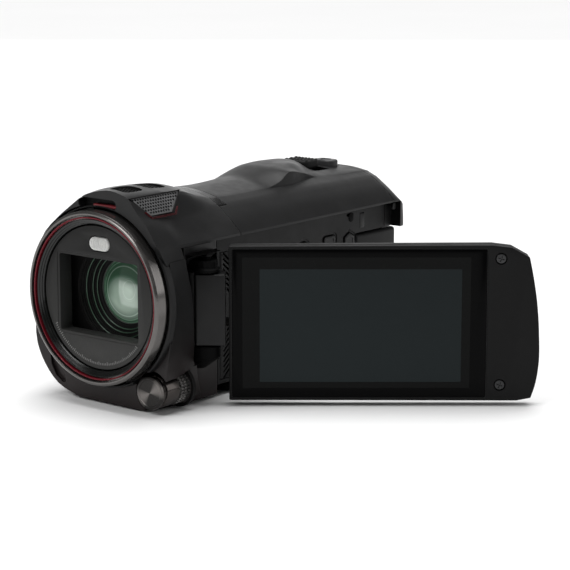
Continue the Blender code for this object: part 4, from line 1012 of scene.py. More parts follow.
def make_lens_end():
    """Bezel, rings, mask, lamp, barrel and glass groups."""
    bezel = turned("lens_bezel_turned", (0, LENS_Z), [(27.6, -69.35), (27.75, -69.5), (28.25, -69.5),
        (28.6, -69.3), (29.0, -68.8), (29.15, -67.0), (29.25, -65.4), (29.1, -65.2), (28.6, -65.1),
        (28.6, -62.3), (25.8, -62.3), (25.8, -59.9), (24.3, -59.9), (24.3, -66.2), (24.5, -66.7),
        (24.9, -67.05), (24.9, -67.3), (25.5, -67.6), (25.5, -67.85), (26.1, -68.15), (26.3, -68.1),
        (26.3, -67.5), (27.6, -67.5)], 160)
    piece(bezel, "gunmetal", ["bezel", "throat"], "lens_bezel", smooth=24)
    for face in bezel.data.polygons:
        if math.hypot(face.center.x, face.center.z) < 26.6 * MM:
            face.material_index = 1

    collar = turned("lens_collar", (0, LENS_Z), [
        (29.5, -62.0), (29.5, -64.1), (29.8, -64.7), (30.2, -64.8), (30.5, -64.4), (30.55, -62.0)], 160)
    carve(collar, [bar("well", "XZ", DIAL_X, DIAL_Z, -80, -49.2, 7.2, 64)])
    piece(collar, "shell_black", "shell", smooth=35)

    ring = turned("accent_ring_polished", (0, LENS_Z), [
        (26.75, -68.9), (26.95, -68.9), (27.1, -68.75), (27.1, -67.6), (26.6, -67.6), (26.6, -68.75)], 160)
    piece(ring, "accent_red", "ring_red", "accent_ring")

    # the inner bevel's grey-green tint is a painted reflection
    sleeve = turned("lens_inner_bevel", (0, LENS_Z), [
        (25.9, -67.9), (26.15, -68.0), (26.25, -67.6), (24.35, -66.3), (24.33, -66.05)], 160)
    piece(sleeve, "gunmetal", "bevel_green")

    mask = bar("lens_mask_plate", "XZ", 0, LENS_Z, -66.4, -65.2, 23.9, 128)
    carve(mask, [prism("tunnel", box_at(0, LENS_Z, 18.6, 14.1, 1.2), "XZ", -65.6, -60.6)], "UNION")
    carve(mask, [
        prism("window", box_at(0, LENS_Z, 17.5, 13.0, 0.8), "XZ", -80, -50),
        prism("lamp", slot_at(LAMP_X, LAMP_Z, 9.5, 5.2), "XZ", -80, -50),
        prism("step", box_at(0, LENS_Z, 18.4, 13.9, 1.4), "XZ", -80, -66.15),
    ])
    bevel(mask, 0.12, 2)
    piece(mask, "satin_grey", "mask", "lens_mask")

    # plain ring of fine ticks in place of printing
    ticks = []
    for i in range(56):
        angle = math.radians(-150 + 2.0 * i)
        long = i % 5 == 0
        tick = block("tick", (-0.10, -66.46, -0.85 if long else -0.45), (0.10, -66.36, 0.25))
        place(tick, (0, 0, 22.3))
        ticks.append(place(tick, (0, 0, LENS_Z), (math.radians(90) - angle, "Y")))
    piece(join("lens_mask_ticks", ticks), "satin_grey", "print", smooth=32)

    lamp = prism("video_lamp_lens", slot_at(LAMP_X, LAMP_Z, 8.8, 4.5), "XZ", -66.8, -63.4)
    bevel(lamp, 0.5, 3)
    ribs = []
    for i in range(9):
        x = LAMP_X + (i - 4) * 0.78
        half = 1.7 if abs(i - 4) < 4 else 1.1
        ribs.append(prism("rib", slot_at(0, 0, half * 2, 0.34, 6), "XZ", -66.95, -66.7))
        place(ribs[-1], (x, 0, LAMP_Z), (math.radians(90), "Y"))
    piece(join("video_lamp_lens", [lamp] + ribs), "lamp_white", "lamp", "video_lamp", smooth=40)

    steps = [(25.6, -57.6), (25.6, -57.0), (18.9, -57.0), (18.9, -55.0), (15.5, -54.0), (15.5, 3.5),
        (11.2, 3.5), (11.2, -52.0), (11.6, -52.6), (12.3, -52.7)]
    for i in range(9):       # light-baffle ridges that widen towards the front
        r, y = 12.4 + i * 0.52, -52.8 - i * 0.50
        steps += [(r, y), (r + 0.05, y - 0.34), (r + 0.46, y - 0.36)]
    steps += [(17.2, -57.2), (17.4, -57.6)]
    piece(turned("lens_barrel_stepped", (0, LENS_Z), steps, 128), "rubber_black", "dark", "lens_barrel",
        smooth=20)

    # the glass looks carry painted reflections
    for name, radius, front, back, bulge, rear, look, node in (
            ("front_element_glass", 10.9, -52.0, -48.5, 2.2, 0.6, "glass", "front_element"),
            ("zoom_group_glass", 7.5, -34.0, -28.0, 1.6, 1.6, "glass_deep", "zoom_group"),
            ("focus_group_glass", 6.0, -10.0, -6.0, 1.2, 1.2, "glass_deep", "focus_group")):
        shares = [i / 14 for i in range(15)]
        profile = [(radius * s, front - bulge * (1 - s * s)) for s in shares]
        profile += [(radius * s, back + rear * (1 - s * s)) for s in reversed(shares)]
        piece(turned(name, (0, LENS_Z), profile, 96), "lens_glass", look, node, smooth=50)

    # the holder ring's grey-green tint is a painted glint
    holder = turned("front_element_ring", (0, LENS_Z), [
        (10.95, -52.35), (11.15, -52.35), (11.15, -48.0), (10.95, -48.0)], 96)
    piece(holder, "gunmetal", "bevel_green")
    # thin mint rings on the barrel steps: painted glints
    glints = []
    for radius, y in ((12.62, -53.30), (13.66, -54.30), (15.22, -55.80)):
        glints.append(turned("glint", (0, LENS_Z), [
            (radius, y - 0.05), (radius + 0.13, y - 0.12), (radius + 0.24, y - 0.05),
            (radius + 0.24, y + 0.2), (radius, y + 0.2)], 96))
    piece(join("lens_barrel_painted_glints", glints), "gunmetal", "bevel_mint")

    trim = prism("brow_accent_trim", box_at(2.3, 67.4, 5.4, 0.5, 0.45), "XZ", -64.6, -62.7)
    piece(bevel(trim, 0.15, 2), "accent_red", "trim_red", "brow_accent", smooth=32)
    # a dark sheet at the back of the brow slot: painted shade in the slot
    shade = prism("brow_slot_painted_shade", box_at(0.0, 68.1, 8.3, 1.7, 1.6), "XZ", -62.8, -62.2)
    piece(shade, "shell_black", "dark")


# ---------------------------------------------------------------- microphone

def perforated(name, outline, plane, low, high, pitch, hole, margin=0.5):
    """A thin plate with staggered round holes that stay clear of its edge."""
    us = [u for u, _ in outline]
    vs = [v for _, v in outline]
    inner = inset(outline, hole + margin)
    sides = list(zip(inner, inner[1:] + inner[:1]))
    turn = sum(a[0] * b[1] - b[0] * a[1] for a, b in sides)
    builder = bmesh.new()
    row_step = pitch * math.sqrt(3) / 2
    for r in range(int((max(vs) - min(vs)) / row_step) + 2):
        for c in range(int((max(us) - min(us)) / pitch) + 2):
            u, v = min(us) + (c + 0.5 * (r % 2)) * pitch, min(vs) + r * row_step
            if any(((b[0] - a[0]) * (v - a[1]) - (b[1] - a[1]) * (u - a[0])) * turn < 0 for a, b in sides):
                continue
            add_shell(builder, [[spot(plane, u + hole * math.cos(math.tau * k / 10),
                v + hole * math.sin(math.tau * k / 10), w) for k in range(10)]
                for w in (low - 0.5, high + 0.5)])
    return carve(prism(name, outline, plane, low, high), [close_mesh("holes", builder)])


def make_microphone():
    """Two dark windows on top, the mesh beside them and its red lines."""
    panes = [block("mic_mesh_top", (-5.0, -62.9, 69.2), (10.8, -37.8, 69.6))]
    for u, v, z, lean in ((6.0, -58.6, 72.1, 0.0), (4.6, -46.0, 71.75, -4.3)):
        outline = rounded_box(3.95, 4.6, 2.3)
        pane = perforated("pane", outline, "XY", -0.3, 0.0, 1.15, 0.40, 0.2)
        wall = prism("wall", outline, "XY", -2.6, 0.02)
        carve(wall, [prism("hole", inset(outline, 0.3), "XY", -9, 9)])
        panes += [place(thing, (u, v, z), (math.radians(lean), "X"), (math.radians(5.0), "Y"))
            for thing in (pane, wall)]
    piece(join("mic_mesh_top", panes), "steel", "mesh_dark", "mic_grille_top", smooth=40)
    side = on_shoulder(perforated("mic_mesh_side", mic_side_outline(0.35), "YZ", -0.9, -0.3, 1.22, 0.46, 0.2))
    piece(side, "steel", "mesh", "mic_grille_left", smooth=40)
    outer, inner = mic_side_outline(0.05), mic_side_outline(0.34)
    rim = prism("mic_side_rim", outer, "YZ", -0.9, 0.15)
    carve(rim, [prism("hole", inner, "YZ", -3, 3)])
    floor = prism("floor", inner, "YZ", -1.7, -1.3)
    piece(on_shoulder(join("mic_side_rim", [rim, floor])), "shell_black", "dark")
    # thin dark-red double line round the lower end of the mesh
    lines = []
    for grow in (-0.45, -0.85):
        a, b = mic_side_outline(grow), mic_side_outline(grow - 0.12)
        line = prism("line", b, "YZ", 0.25, 0.62)
        lines.append(carve(line, [prism("hole", a, "YZ", -3, 3), block("upper", (-9, -70, -1.4),
            (9, -30, 9))]))
    piece(on_shoulder(join("mic_side_red_lines", lines)), "accent_red", "line_red", smooth=32)


# ---------------------------------------------------------------- function dial

def make_dial():
    """The dial with its knurled bands, cap and well."""
    def teeth(radius, y, angle):
        if radius < 5.5:
            return radius
        return radius - 0.55 * (0.5 + 0.5 * math.cos(angle * 33)) ** 1.5

    profile = [(1.9, -62.6), (4.7, -62.6), (4.9, -62.4), (4.9, -61.4), (5.35, -61.2), (5.45, -60.9),
        (5.45, -55.4), (5.3, -55.2), (4.9, -55.1)]
    y = -54.9
    for _ in range(3):
        profile += [(4.85, y), (4.9, y + 0.25), (5.66, y + 0.35), (5.66, y + 1.30), (4.9, y + 1.40)]
        y += 1.6
    profile += [(1.1, -50.2), (1.1, -44.5), (0, -44.5), (0, -54.0), (1.9, -54.0)]
    knob = turned("function_dial_knurled", (DIAL_X, DIAL_Z), profile, 264, teeth)
    piece(knob, "gunmetal", ["knurl", "collar"], "function_dial", body="function_dial_body", smooth=28)
    for face in knob.data.polygons:
        if face.center.y < -55.0 * MM:
            face.material_index = 1

    cap = turned("function_button_cap", (DIAL_X, DIAL_Z), [
        (0, -64.05), (3.9, -64.05), (4.35, -64.1), (4.6, -64.3), (5.2, -64.3), (5.5, -64.15),
        (5.6, -63.9), (5.6, -63.3), (5.5, -63.2), (1.5, -63.2), (1.5, -55.2), (0, -55.2)], 96)
    piece(cap, "gunmetal", "cap", "function_button", body="function_button_body")

    well = turned("dial_well_ring", (DIAL_X, DIAL_Z), [
        (6.1, -50.6), (7.1, -50.6), (7.1, -49.3), (6.0, -49.3), (6.0, -50.4)], 96)
    piece(well, "gunmetal", "dark")


# ---------------------------------------------------------------- top and rear controls

def make_controls():
    """Zoom lever, buttons, battery latch and the details of the side recess."""
    lever = prism("zoom_lever_cap", box_at(LEVER_X, 44.6, 5.6, 4.3, 2.4), "XY", 67.3, 70.25)
    bevel(lever, 0.8, 4)
    studs = []
    for row in range(5):
        for column in range(7):
            u = LEVER_X - 4.5 + column * 1.5 + 0.75 * (row % 2)
            v = 44.6 + (row - 2) * 1.38
            if abs(u - LEVER_X) > 4.6:
                continue
            studs.append(shell("stud", [[(x, y, z) for x, y in hexagon(u, v, r)] for r,
                z in ((0.62, 70.1), (0.62, 70.35), (0.40, 70.55))]))
    arm = block("arm", (LEVER_X - 2.2, 30, 65.0), (LEVER_X + 2.2, 47, 66.4))
    stem = block("stem", (LEVER_X - 3.2, 42, 65.0), (LEVER_X + 3.2, 47, 68.4))
    collar = bar("collar", "XY", LEVER_X, LEVER_PIVOT_Y, 65.0, 66.9, 3.2)
    carve(lever, [stem, arm, collar], "UNION")
    carve(lever, [bar("bore", "XY", LEVER_X, LEVER_PIVOT_Y, 60, 70, 1.65)])
    piece(join("zoom_lever_cap", [lever] + studs), "rubber_black", "rubber", "zoom_lever",
        body="zoom_lever_body", smooth=40)

    photo = prism("photo_button_cap", slot_at(PHOTO_X, PHOTO_Y, 9.6, 6.0), "XY", 62.0, 68.9)
    bevel(photo, 0.7, 4)
    carve(photo, [bar("dish", "XY", PHOTO_X, PHOTO_Y, 90.5, 68.55, 2.11, 64)])
    bevel(photo, 0.12, 2)
    piece(photo, "satin_grey", "button", "photo_button", body="photo_button_body", smooth=35)

    record = turned("record_button_cap", (RECORD_X, RECORD_Z), [
        (0, 65.2), (6.0, 65.2), (6.0, 69.6)] + arc(5.2, 69.8, 0.8, 0, 90, 5)
        + [(4.6, 70.6), (4.3, 70.35), (3.0, 70.1), (0, 70.0)], 96)
    piece(record, "satin_grey", "button", "record_button", body="record_button_body", smooth=35)
    dot = turned("record_button_mark", (RECORD_X, RECORD_Z), [(0, 70.0), (1.5, 70.0), (1.6, 70.1),
        (1.5, 70.25), (0, 70.3)], 48)
    piece(dot, "accent_red", "trim_red", body="record_button_body", smooth=35)
    ring = turned("record_button_collar", (RECORD_X, RECORD_Z), [
        (6.36, 68.2), (7.4, 68.2), (7.6, 68.5), (7.3, 69.9), (6.9, 70.1), (6.36, 69.9)], 96)
    piece(ring, "gunmetal", "bezel")

    latch = block("battery_latch_slider", (-16.0, 65.4, 20.2), (-12.9, 70.6, 27.8))
    bevel(latch, 0.6, 3)
    carve(latch, [block("tongue", (-15, 63.2, 22.4), (-10.1, 65.9, 25.6))], "UNION")
    carve(latch, [block("grip%d" % i, (-15.6, 70.25, 21.6 + i * 1.1), (-13.3, 72, 22.1 + i * 1.1))
        for i in range(5)])
    piece(latch, "rubber_black", "rubber", "battery_latch", body="battery_latch_body", smooth=35)

    for name, node, outline, low, slot in (
            ("wireless_button_cap", "wireless_button", box_at(*WIRELESS, 3.3, 3.3, 1.1), 18.7, 2.4),
            ("mode_button_cap", "mode_button", hexagon(*MODE, 3.35), 18.9, 2.1)):
        made = prism(name, outline, "YZ", low, 21.95)
        bevel(made, 0.35, 3)
        mid = box_at(*WIRELESS, slot, slot, 0.9) if "wireless" in name else \
            hexagon(*MODE, slot)
        carve(made, [prism("dish", mid, "YZ", 21.82, 30)])
        piece(made, "satin_grey", "satin", node, body=node + "_body", smooth=35)
    power = bar("power_button_cap", "YZ", POWER_Y, POWER_Z, 18.7, 21.95, 3.0, 64)
    bevel(power, 0.3, 3)
    carve(power, [bar("dish", "YZ", POWER_Y, POWER_Z, 21.8, 30, 2.2, 64)])
    piece(power, "satin_grey", "satin", "power_button", body="power_button_body", smooth=35)

    # details of the recess floor: a marker bar, a deep-black plug that is painted shade standing in for a
    # small dark hole, and a round stop
    tab = prism("recess_tab", box_at(49.0, 49.6, 1.3, 2.6, 0.35), "YZ", RECESS_X - 0.7, RECESS_X + 0.1)
    piece(bevel(tab, 0.12, 2), "satin_grey", "satin", smooth=35)
    painted_hole_shade = prism("recess_hole_painted_shade", box_at(42.4, 51.6, 1.3, 1.7, 1.25), "YZ", RECESS_X - 0.2, RECESS_X + 0.2)
    piece(bevel(painted_hole_shade, 0.1, 2), "rubber_black", "pit", smooth=35)
    stop = prism("ledge_stop", box_at(65.25, 53.0, 1.2, 1.4, 1.15), "YZ", 23.4, 24.5)
    piece(bevel(stop, 0.5, 3), "satin_grey", "satin", smooth=35)


def make_side():
    """Louvres, the two doors and the battery."""
    grille = block("louvre_grille_ribs", (19.8, -30.1, 5.9), (21.6, -20.9, 49.1))
    slots = []
    for i in range(22):
        z = 8.6 + 1.8 * i
        slot = block("slot", (-10, -3.9, -0.36), (10, 3.9, 0.36))
        slot.location = Vector((21, -25.5, z)) * MM
        slot.rotation_euler = (math.radians(-40 if z > 30 else 40), 0, 0)
        if 24.5 < z < 34.5:
            drop(slot)
        else:
            slots.append(slot)
    bpy.context.view_layer.update()
    carve(grille, slots)
    bevel(grille, 0.10, 2)
    piece(grille, "shell_black", "shell_side", "louvre_grille", smooth=35)

    door = block("card_door_panel", (20.2, -14.3, 7.0), (RECESS_X, 4.7, 17.8))
    bevel(door, 0.4, 3)
    carve(door, [prism("nail", slot_at(-4.8, 16.1, 7, 1.3), "YZ", RECESS_X - 0.5, 30)])
    bevel(door, 0.1, 2)
    piece(door, "shell_black", "shell_side", "card_door", body="card_door_body", smooth=35)
    door = block("terminal_door_panel", (20.2, 10.0, 8.0), (RECESS_X, 30.2, 30.0))
    bevel(door, 0.4, 3)
    carve(door, [prism("nail", box_at(11.9, 19.0, 0.7, 3.4, 0.65), "YZ", RECESS_X - 0.5, 30)])
    bevel(door, 0.1, 2)
    piece(door, "shell_black", "shell_side", "terminal_door", body="terminal_door_body", smooth=35)

    cell = block("battery_case", (BAY_X + 0.6, BAY_Y + 0.5, 0.5), (RECESS_X - 0.1, 70.0, BAY_Z - 0.5))
    bevel(cell, 1.3, 4)
    carve(cell, [prism("grip", slot_at(6.0, z, 12, 1.2), "XZ", 69.6, 75) for z in (36.0, 33.6, 31.2)])
    piece(cell, "shell_black", "shell_fine", "battery", body="battery_body", smooth=35)


# ---------------------------------------------------------------- hinged screen

def lcd_outline(smaller=0.0):
    """Outline of the screen housing about the hinge axis, as (x, z)."""
    points = [(x + PANEL_NEAR, z) for x, z in LCD_OUTLINE]
    fine = curved(points, (0, 1, 2, 3, 4, 10, 11), 5, closed=True)
    # the long straight sides stay straight
    fine = [p for i, p in enumerate(fine) if not (0 < i % 5 and i // 5 in (0, 1, 11))]
    return inset(fine, smaller) if smaller else fine


def make_hinge_surround():
    """The scooped wall behind the hinge and the two knuckles that carry its pin."""
    scoop = [(25.4, 51.0), (23.9, 50.6), (22.4, 49.8), (21.0, 48.6), (20.0, 47.0), (19.4, 45.0), (19.3, 20.3),
        (19.8, 18.0), (20.8, 16.4), (22.2, 15.2), (23.6, 14.4), (24.4, 14.0), (18.0, 14.0), (18.0, 51.0)]
    wall = prism("hinge_scoop", scoop, "XZ", -47.25, -33.4)
    piece(wall, "shell_black", "shell_fine", smooth=40)
    # the knuckles are deep black: painted shadow above the hinge block
    for name, rows in (("hinge_knuckle_upper", ((44.95, 14.2, 9.2), (45.2, 14.6, 9.6), (46.0, 14.6, 9.6),
            (46.3, 14.2, 9.2), (49.8, 6.4, 4.0))), ("hinge_knuckle_lower",
            ((20.25, 14.2, 9.2), (20.0, 14.6, 9.6), (16.4, 14.6, 9.6), (15.9, 14.2, 9.2), (12.2, 9.0, 5.0)))):
        knuckle = shell(name, [[(HINGE_X - 2.6 - (14.6 - long) * 0.5 + u, HINGE_Y + v, z) for u,
            v in stadium(long, wide)] for z, long, wide in rows])
        carve(knuckle, [bar("bore", "XY", HINGE_X, HINGE_Y, 15.0, 50.0, 1.7)])
        piece(knuckle, "shell_black", "pit")


def make_screen():
    """The hinged screen with its hinge block."""
    back = prism("lcd_back_shell", lcd_outline(), "XZ", -1.6, PANEL_BACK)
    bevel(back, 0.9, 4)
    carve(back, [
        prism("cavity", lcd_outline(1.5), "XZ", -6, 1.3),
        bar("pin", "YZ", 0, TILT_Z, 2, 14.6, 1.85),
        # shallow framed field on the outside of the lid
        prism("field", box_at(PANEL_NEAR + 47, 28.2, 36, 19, 5), "XZ", PANEL_BACK - 0.18, 9),
    ])
    raised = prism("plate", box_at(PANEL_NEAR + 47, 28.2, 35.6, 18.6, 4.7), "XZ", PANEL_BACK - 0.3,
        PANEL_BACK - 0.02)
    bevel(raised, 0.12, 2)
    piece(on_hinge(join("lcd_back_shell", [back, raised])), "shell_black", "lid", "lcd_back_cover",
        body="lcd_panel")

    near = PANEL_NEAR
    front = prism("lcd_front_bezel", lcd_outline(), "XZ", PANEL_FACE, -1.9)
    bevel(front, 0.4, 3)
    tools = [
        prism("seat", box_at(GLASS_X, GLASS_Z, 42.15, 25.2, 0.6), "XZ", -9, -2.8),
        block("way", (near + 8, -9, 8), (near + 79, 5, 49)),
    ]
    for x, z in LCD_SCREWS:
        tools += [bar("head", "XZ", x, z, -9, -2.6, 2.0), bar("way", "XZ", x, z, -9, 5, 1.1)]
    carve(front, tools)
    piece(on_hinge(front), "satin_grey", "frame", "lcd_front_frame", body="lcd_panel")

    glass = prism("lcd_glass_plate", box_at(GLASS_X, GLASS_Z, 41.85, 24.9, 0.5), "XZ", PANEL_FACE + 0.05,
        -3.1)
    bevel(glass, 0.22, 3)
    # the display sits a hair below its printed border
    low_x, high_x = near + 10.1, near + 76.5
    middle, half = (low_x + high_x) / 2, (high_x - low_x) / 2
    carve(glass, [prism("margin", box_at(middle - 1.4, 28.35, half + 4.3, 22.0, 0.4), "XZ", -9,
        PANEL_FACE + 0.11), prism("view", box_at(middle, 27.4, half, 19.0, 0.3), "XZ", -9,
        PANEL_FACE + 0.16)])
    on_hinge(glass)
    piece(glass, "gloss_black", ["screen_border", "screen", "screen_margin"], "lcd_glass", body="lcd_panel",
        smooth=25)
    for face in glass.data.polygons:
        for depth, number in ((0.16, 1), (0.11, 2)):
            if face.normal.y < -0.9 and abs(face.center.y - (PANEL_FACE + depth) * MM) < 0.00001:
                face.material_index = number

    line = prism("lcd_edge_line", box_at(GLASS_X, GLASS_Z, 42.1, 25.15, 0.55), "XZ", PANEL_FACE + 0.12, -2.95)
    carve(line, [prism("hole", box_at(GLASS_X, GLASS_Z, 41.88, 24.93, 0.5), "XZ", -9, 5)])
    piece(on_hinge(line), "satin_grey", "satin", body="lcd_panel", smooth=25)

    for name, node, (x, z) in zip(("lcd_screw_upper_head", "lcd_screw_lower_head"),
            ("lcd_screw_upper", "lcd_screw_lower"), LCD_SCREWS):
        head = bar(name, "XZ", x, z, -3.85, -2.95, 1.65, 48)
        bevel(head, 0.2, 3)
        carve(head, [bar("shank", "XZ", x, z, -3.2, 0.6, 0.8, 24)], "UNION")
        tools = []
        for angle in (20, 110):
            arm = block("arm", (-1.1, -9, -0.19), (1.1, -3.35, 0.19))
            tools.append(place(arm, (x, 0, z), (math.radians(angle), "Y")))
        carve(head, tools)
        piece(on_hinge(head), "steel", "screw", node, body="lcd_panel")

    outline = [(6.55, -3.6), (6.55, 3.6), (6.15, 4.0), (-1.6, 4.0), (-3.2, 3.2), (-3.95, 1.6), (-3.95, -3.2),
        (-3.2, -4.0), (6.15, -4.0)]
    make_hinge_surround()
    hinge = prism("hinge_block_cover", outline, "XY", 20.7, 44.5)
    bevel(hinge, 0.45, 3)
    carve(hinge, [bar("bore", "XY", 0, 0, 10, 60, 1.8), bar("tilt", "YZ", 0, TILT_Z, 1.4, 20, 1.85)])
    piece(on_hinge(hinge), "satin_grey", "satin", "hinge_block", body="lcd_arm")


# ---------------------------------------------------------------- hand strap

def strap_point(y):
    """A point of the strap seen from above."""
    share = min(max((y + 33.0) / 79.0, 0.0), 1.0)
    return (-35.4 - 11.0 * math.sin(math.pi * share) ** 0.8, y)


def strap_path(start, end, count):
    return [strap_point(start + (end - start) * i / (count - 1)) for i in range(count)]


def band(name, path, half_width, middle_z, thickness, edge=0.35, offset=0.0):
    """A flat band along a path seen from above, with rounded selvedges and a UV map in metres."""
    section = []
    for side in (1, -1):
        for u, v in ((half_width - edge, 0.5), (half_width - edge * 0.3, 0.36), (half_width, 0.0)):
            section.append((side * u, side * v * thickness))
        section.append((side * (half_width - edge * 0.3), -side * 0.36 * thickness))
        section.append((side * (half_width - edge), -side * 0.5 * thickness))
        section.append((0.0, -side * 0.5 * thickness))
    builder = bmesh.new()
    layer = builder.loops.layers.uv.new("weave")
    rings, lengths, run = [], [], 0.0
    for i, (x, y) in enumerate(path):
        before, after = Vector(path[max(i - 1, 0)]), Vector(path[min(i + 1, len(path) - 1)])
        along = (after - before).normalized()
        side = Vector((-along.y, along.x))
        if i:
            run += (Vector(path[i]) - Vector(path[i - 1])).length
        lengths.append(run)
        rings.append([builder.verts.new(Vector((x + side.x * (v + offset), y + side.y * (v + offset),
            middle_z + u)) * MM) for u, v in section])
    count = len(section)
    for i in range(len(rings) - 1):
        for k in range(count):
            j = (k + 1) % count
            face = builder.faces.new((rings[i][k], rings[i][j], rings[i + 1][j], rings[i + 1][k]))
            for loop, (station, index) in zip(face.loops, ((i, k), (i, j), (i + 1, j), (i + 1, k))):
                loop[layer].uv = (lengths[station] * MM, section[index][0] * MM)
    builder.faces.new(list(reversed(rings[0])))
    builder.faces.new(rings[-1])
    return close_mesh(name, builder)


def stitches(name, path, z, offset, body, pitch=1.5, length=1.0, lift=0.16):
    """A row of thread stitches lying on a band, along the path at one height."""
    things = []
    run = [0.0]
    for a, b in zip(path, path[1:]):
        run.append(run[-1] + (Vector(b) - Vector(a)).length)
    place = pitch
    while place < run[-1] - pitch:
        i = max(k for k in range(len(run)) if run[k] <= place)
        share = (place - run[i]) / (run[i + 1] - run[i])
        a, b = Vector(path[i]), Vector(path[i + 1])
        along = (b - a).normalized()
        side = Vector((-along.y, along.x))
        centre = a + (b - a) * share + side * offset
        builder = bmesh.new()
        bmesh.ops.create_icosphere(builder, subdivisions=1, radius=1.0)
        turn = Matrix(((along.x, side.x, 0), (along.y, side.y, 0), (0, 0, 1))).to_4x4()
        bmesh.ops.transform(builder, verts=builder.verts, matrix=(
            Matrix.Translation(Vector((centre.x, centre.y, z)) * MM) @ turn
            @ Matrix.Diagonal((length / 2 * MM, lift * MM, 0.17 * MM, 1))))
        things.append(close_mesh("stitch", builder))
        place += pitch
    made = join(name, things)
    return piece(made, "webbing", "thread", body=body, smooth=60)


def puffed_pad():
    """Soft pad of the strap: two faces sewn round the edge and along two channels."""
    half_z, columns, rows = 14.2, 40, 30
    marks = strap_path(STRAP_START_Y, STRAP_END_Y, 21)
    start, end = marks[6][1], marks[14][1]
    builder = bmesh.new()
    seams = []
    grids = []
    for face_side in (1, -1):
        grid = []
        for i in range(columns + 1):
            t = i / columns
            y = start + 0.8 + (end - start - 1.6) * t
            x, _ = strap_point(y)
            before, after = Vector(strap_point(y - 1)), Vector(strap_point(y + 1))
            along = (after - before).normalized()
            side = Vector((-along.y, along.x))
            line = []
            for k in range(rows + 1):
                s = 2.0 * k / rows - 1.0
                corner = 1.0 - 0.06 * max(0.0, abs(2 * t - 1) - 0.75) / 0.25
                border = min(1.0, (1 - abs(s)) / 0.16) * min(1.0, (1 - abs(2 * t - 1)) / 0.10)
                channel = min(1.0, abs(abs(2 * t - 1) - 0.40) / 0.07)
                fill = math.sqrt(max(border, 0.0)) * (0.45 + 0.55 * math.sqrt(channel))
                lift = face_side * (0.32 + 1.30 * fill)
                vertex = builder.verts.new(Vector((x + 2.9 + side.x * lift, y + side.y * lift,
                    STRAP_Z + s * half_z * corner)) * MM)
                if border <= 0.001 or channel < 0.2:
                    seams.append(vertex)
                line.append(vertex)
            grid.append(line)
        grids.append(grid)
    for grid in grids:
        for i in range(columns):
            for k in range(rows):
                builder.faces.new((grid[i][k], grid[i + 1][k], grid[i + 1][k + 1], grid[i][k + 1]))
    a, b = grids
    for i in range(columns):
        for k in (0, rows):
            builder.faces.new((a[i][k], a[i + 1][k], b[i + 1][k], b[i][k]))
    for k in range(rows):
        for i in (0, columns):
            builder.faces.new((a[i][k], a[i][k + 1], b[i][k + 1], b[i][k]))
    builder.verts.index_update()
    held = [v.index for v in seams]
    made = close_mesh("strap_pad_padded", builder)
    return made, held


def inflate(pad, held):
    """Swell the pad with cloth pressure, worked at twenty times its size, then cap the travel."""
    grow = 20.0
    rest = [v.co.copy() for v in pad.data.vertices]
    centre = sum(rest, Vector()) / len(rest)
    for v, place in zip(pad.data.vertices, rest):
        v.co = (place - centre) * grow
    group = pad.vertex_groups.new(name="sewn")
    group.add(held, 1.0, "REPLACE")
    cloth = pad.modifiers.new("cloth", "CLOTH")
    for key, value in (
            ("quality", 5), ("mass", 0.3), ("tension_stiffness", 25), ("compression_stiffness", 25),
            ("shear_stiffness", 15), ("bending_stiffness", 0.5), ("use_pressure", True),
            ("uniform_pressure_force", 4.0), ("vertex_group_mass", "sewn"), ("pin_stiffness", 1.0)):
        setattr(cloth.settings, key, value)
    cloth.settings.effector_weights.gravity = 0.0
    cloth.collision_settings.use_collision = False
    scene = bpy.context.scene
    scene.frame_start, scene.frame_end = 1, 20
    cloth.point_cache.frame_start, cloth.point_cache.frame_end = 1, 20
    for number in range(1, 21):
        scene.frame_set(number)
    graph = bpy.context.evaluated_depsgraph_get()
    swollen = [v.co.copy() for v in pad.evaluated_get(graph).data.vertices]
    pad.modifiers.clear()
    scene.frame_set(1)
    for v, place, new in zip(pad.data.vertices, rest, swollen):
        moved = new / grow + centre - place
        if moved.length > 0.45 * MM:
            moved = moved.normalized() * 0.45 * MM
        v.co = place + moved
    pad.vertex_groups.clear()
    return pad


def make_strap():
    """Hand strap, its stitching, pad and anchors."""
    path = strap_path(STRAP_START_Y, STRAP_END_Y, 90)
    strap = band("hand_strap_webbing", path, 12.5, STRAP_Z, 1.25)
    piece(strap, "webbing", "webbing", "hand_strap", smooth=50)
    for i, z in enumerate((26.2, 46.8)):
        stitches("hand_strap_stitch_%d" % (i + 1), path[4:-4], z, 0.62, "camera_body")

    pad, held = puffed_pad()
    inflate(pad, held)
    fine = pad.modifiers.new("fine", "SUBSURF")
    fine.levels = fine.render_levels = 1
    bake(pad)
    piece(pad, "webbing", "pad", "strap_pad", smooth=180)

    for name, node, y in (("strap_anchor_front_loop", "strap_anchor_front", -37.0),
            ("strap_anchor_rear_loop", "strap_anchor_rear", 50.0)):
        lug = block(name, (-38.2, y - 2.1, 22.0), (-27.6, y + 2.1, 51.0))
        bevel(lug, 0.9, 4)
        carve(lug, [prism("way", box_at(-35.4, 36.5, 1.2, 13.0, 1.0), "XZ", y - 9, y + 9)])
        piece(lug, "steel", "steel", node)


# ---------------------------------------------------------------- parts that keep their CAD shape

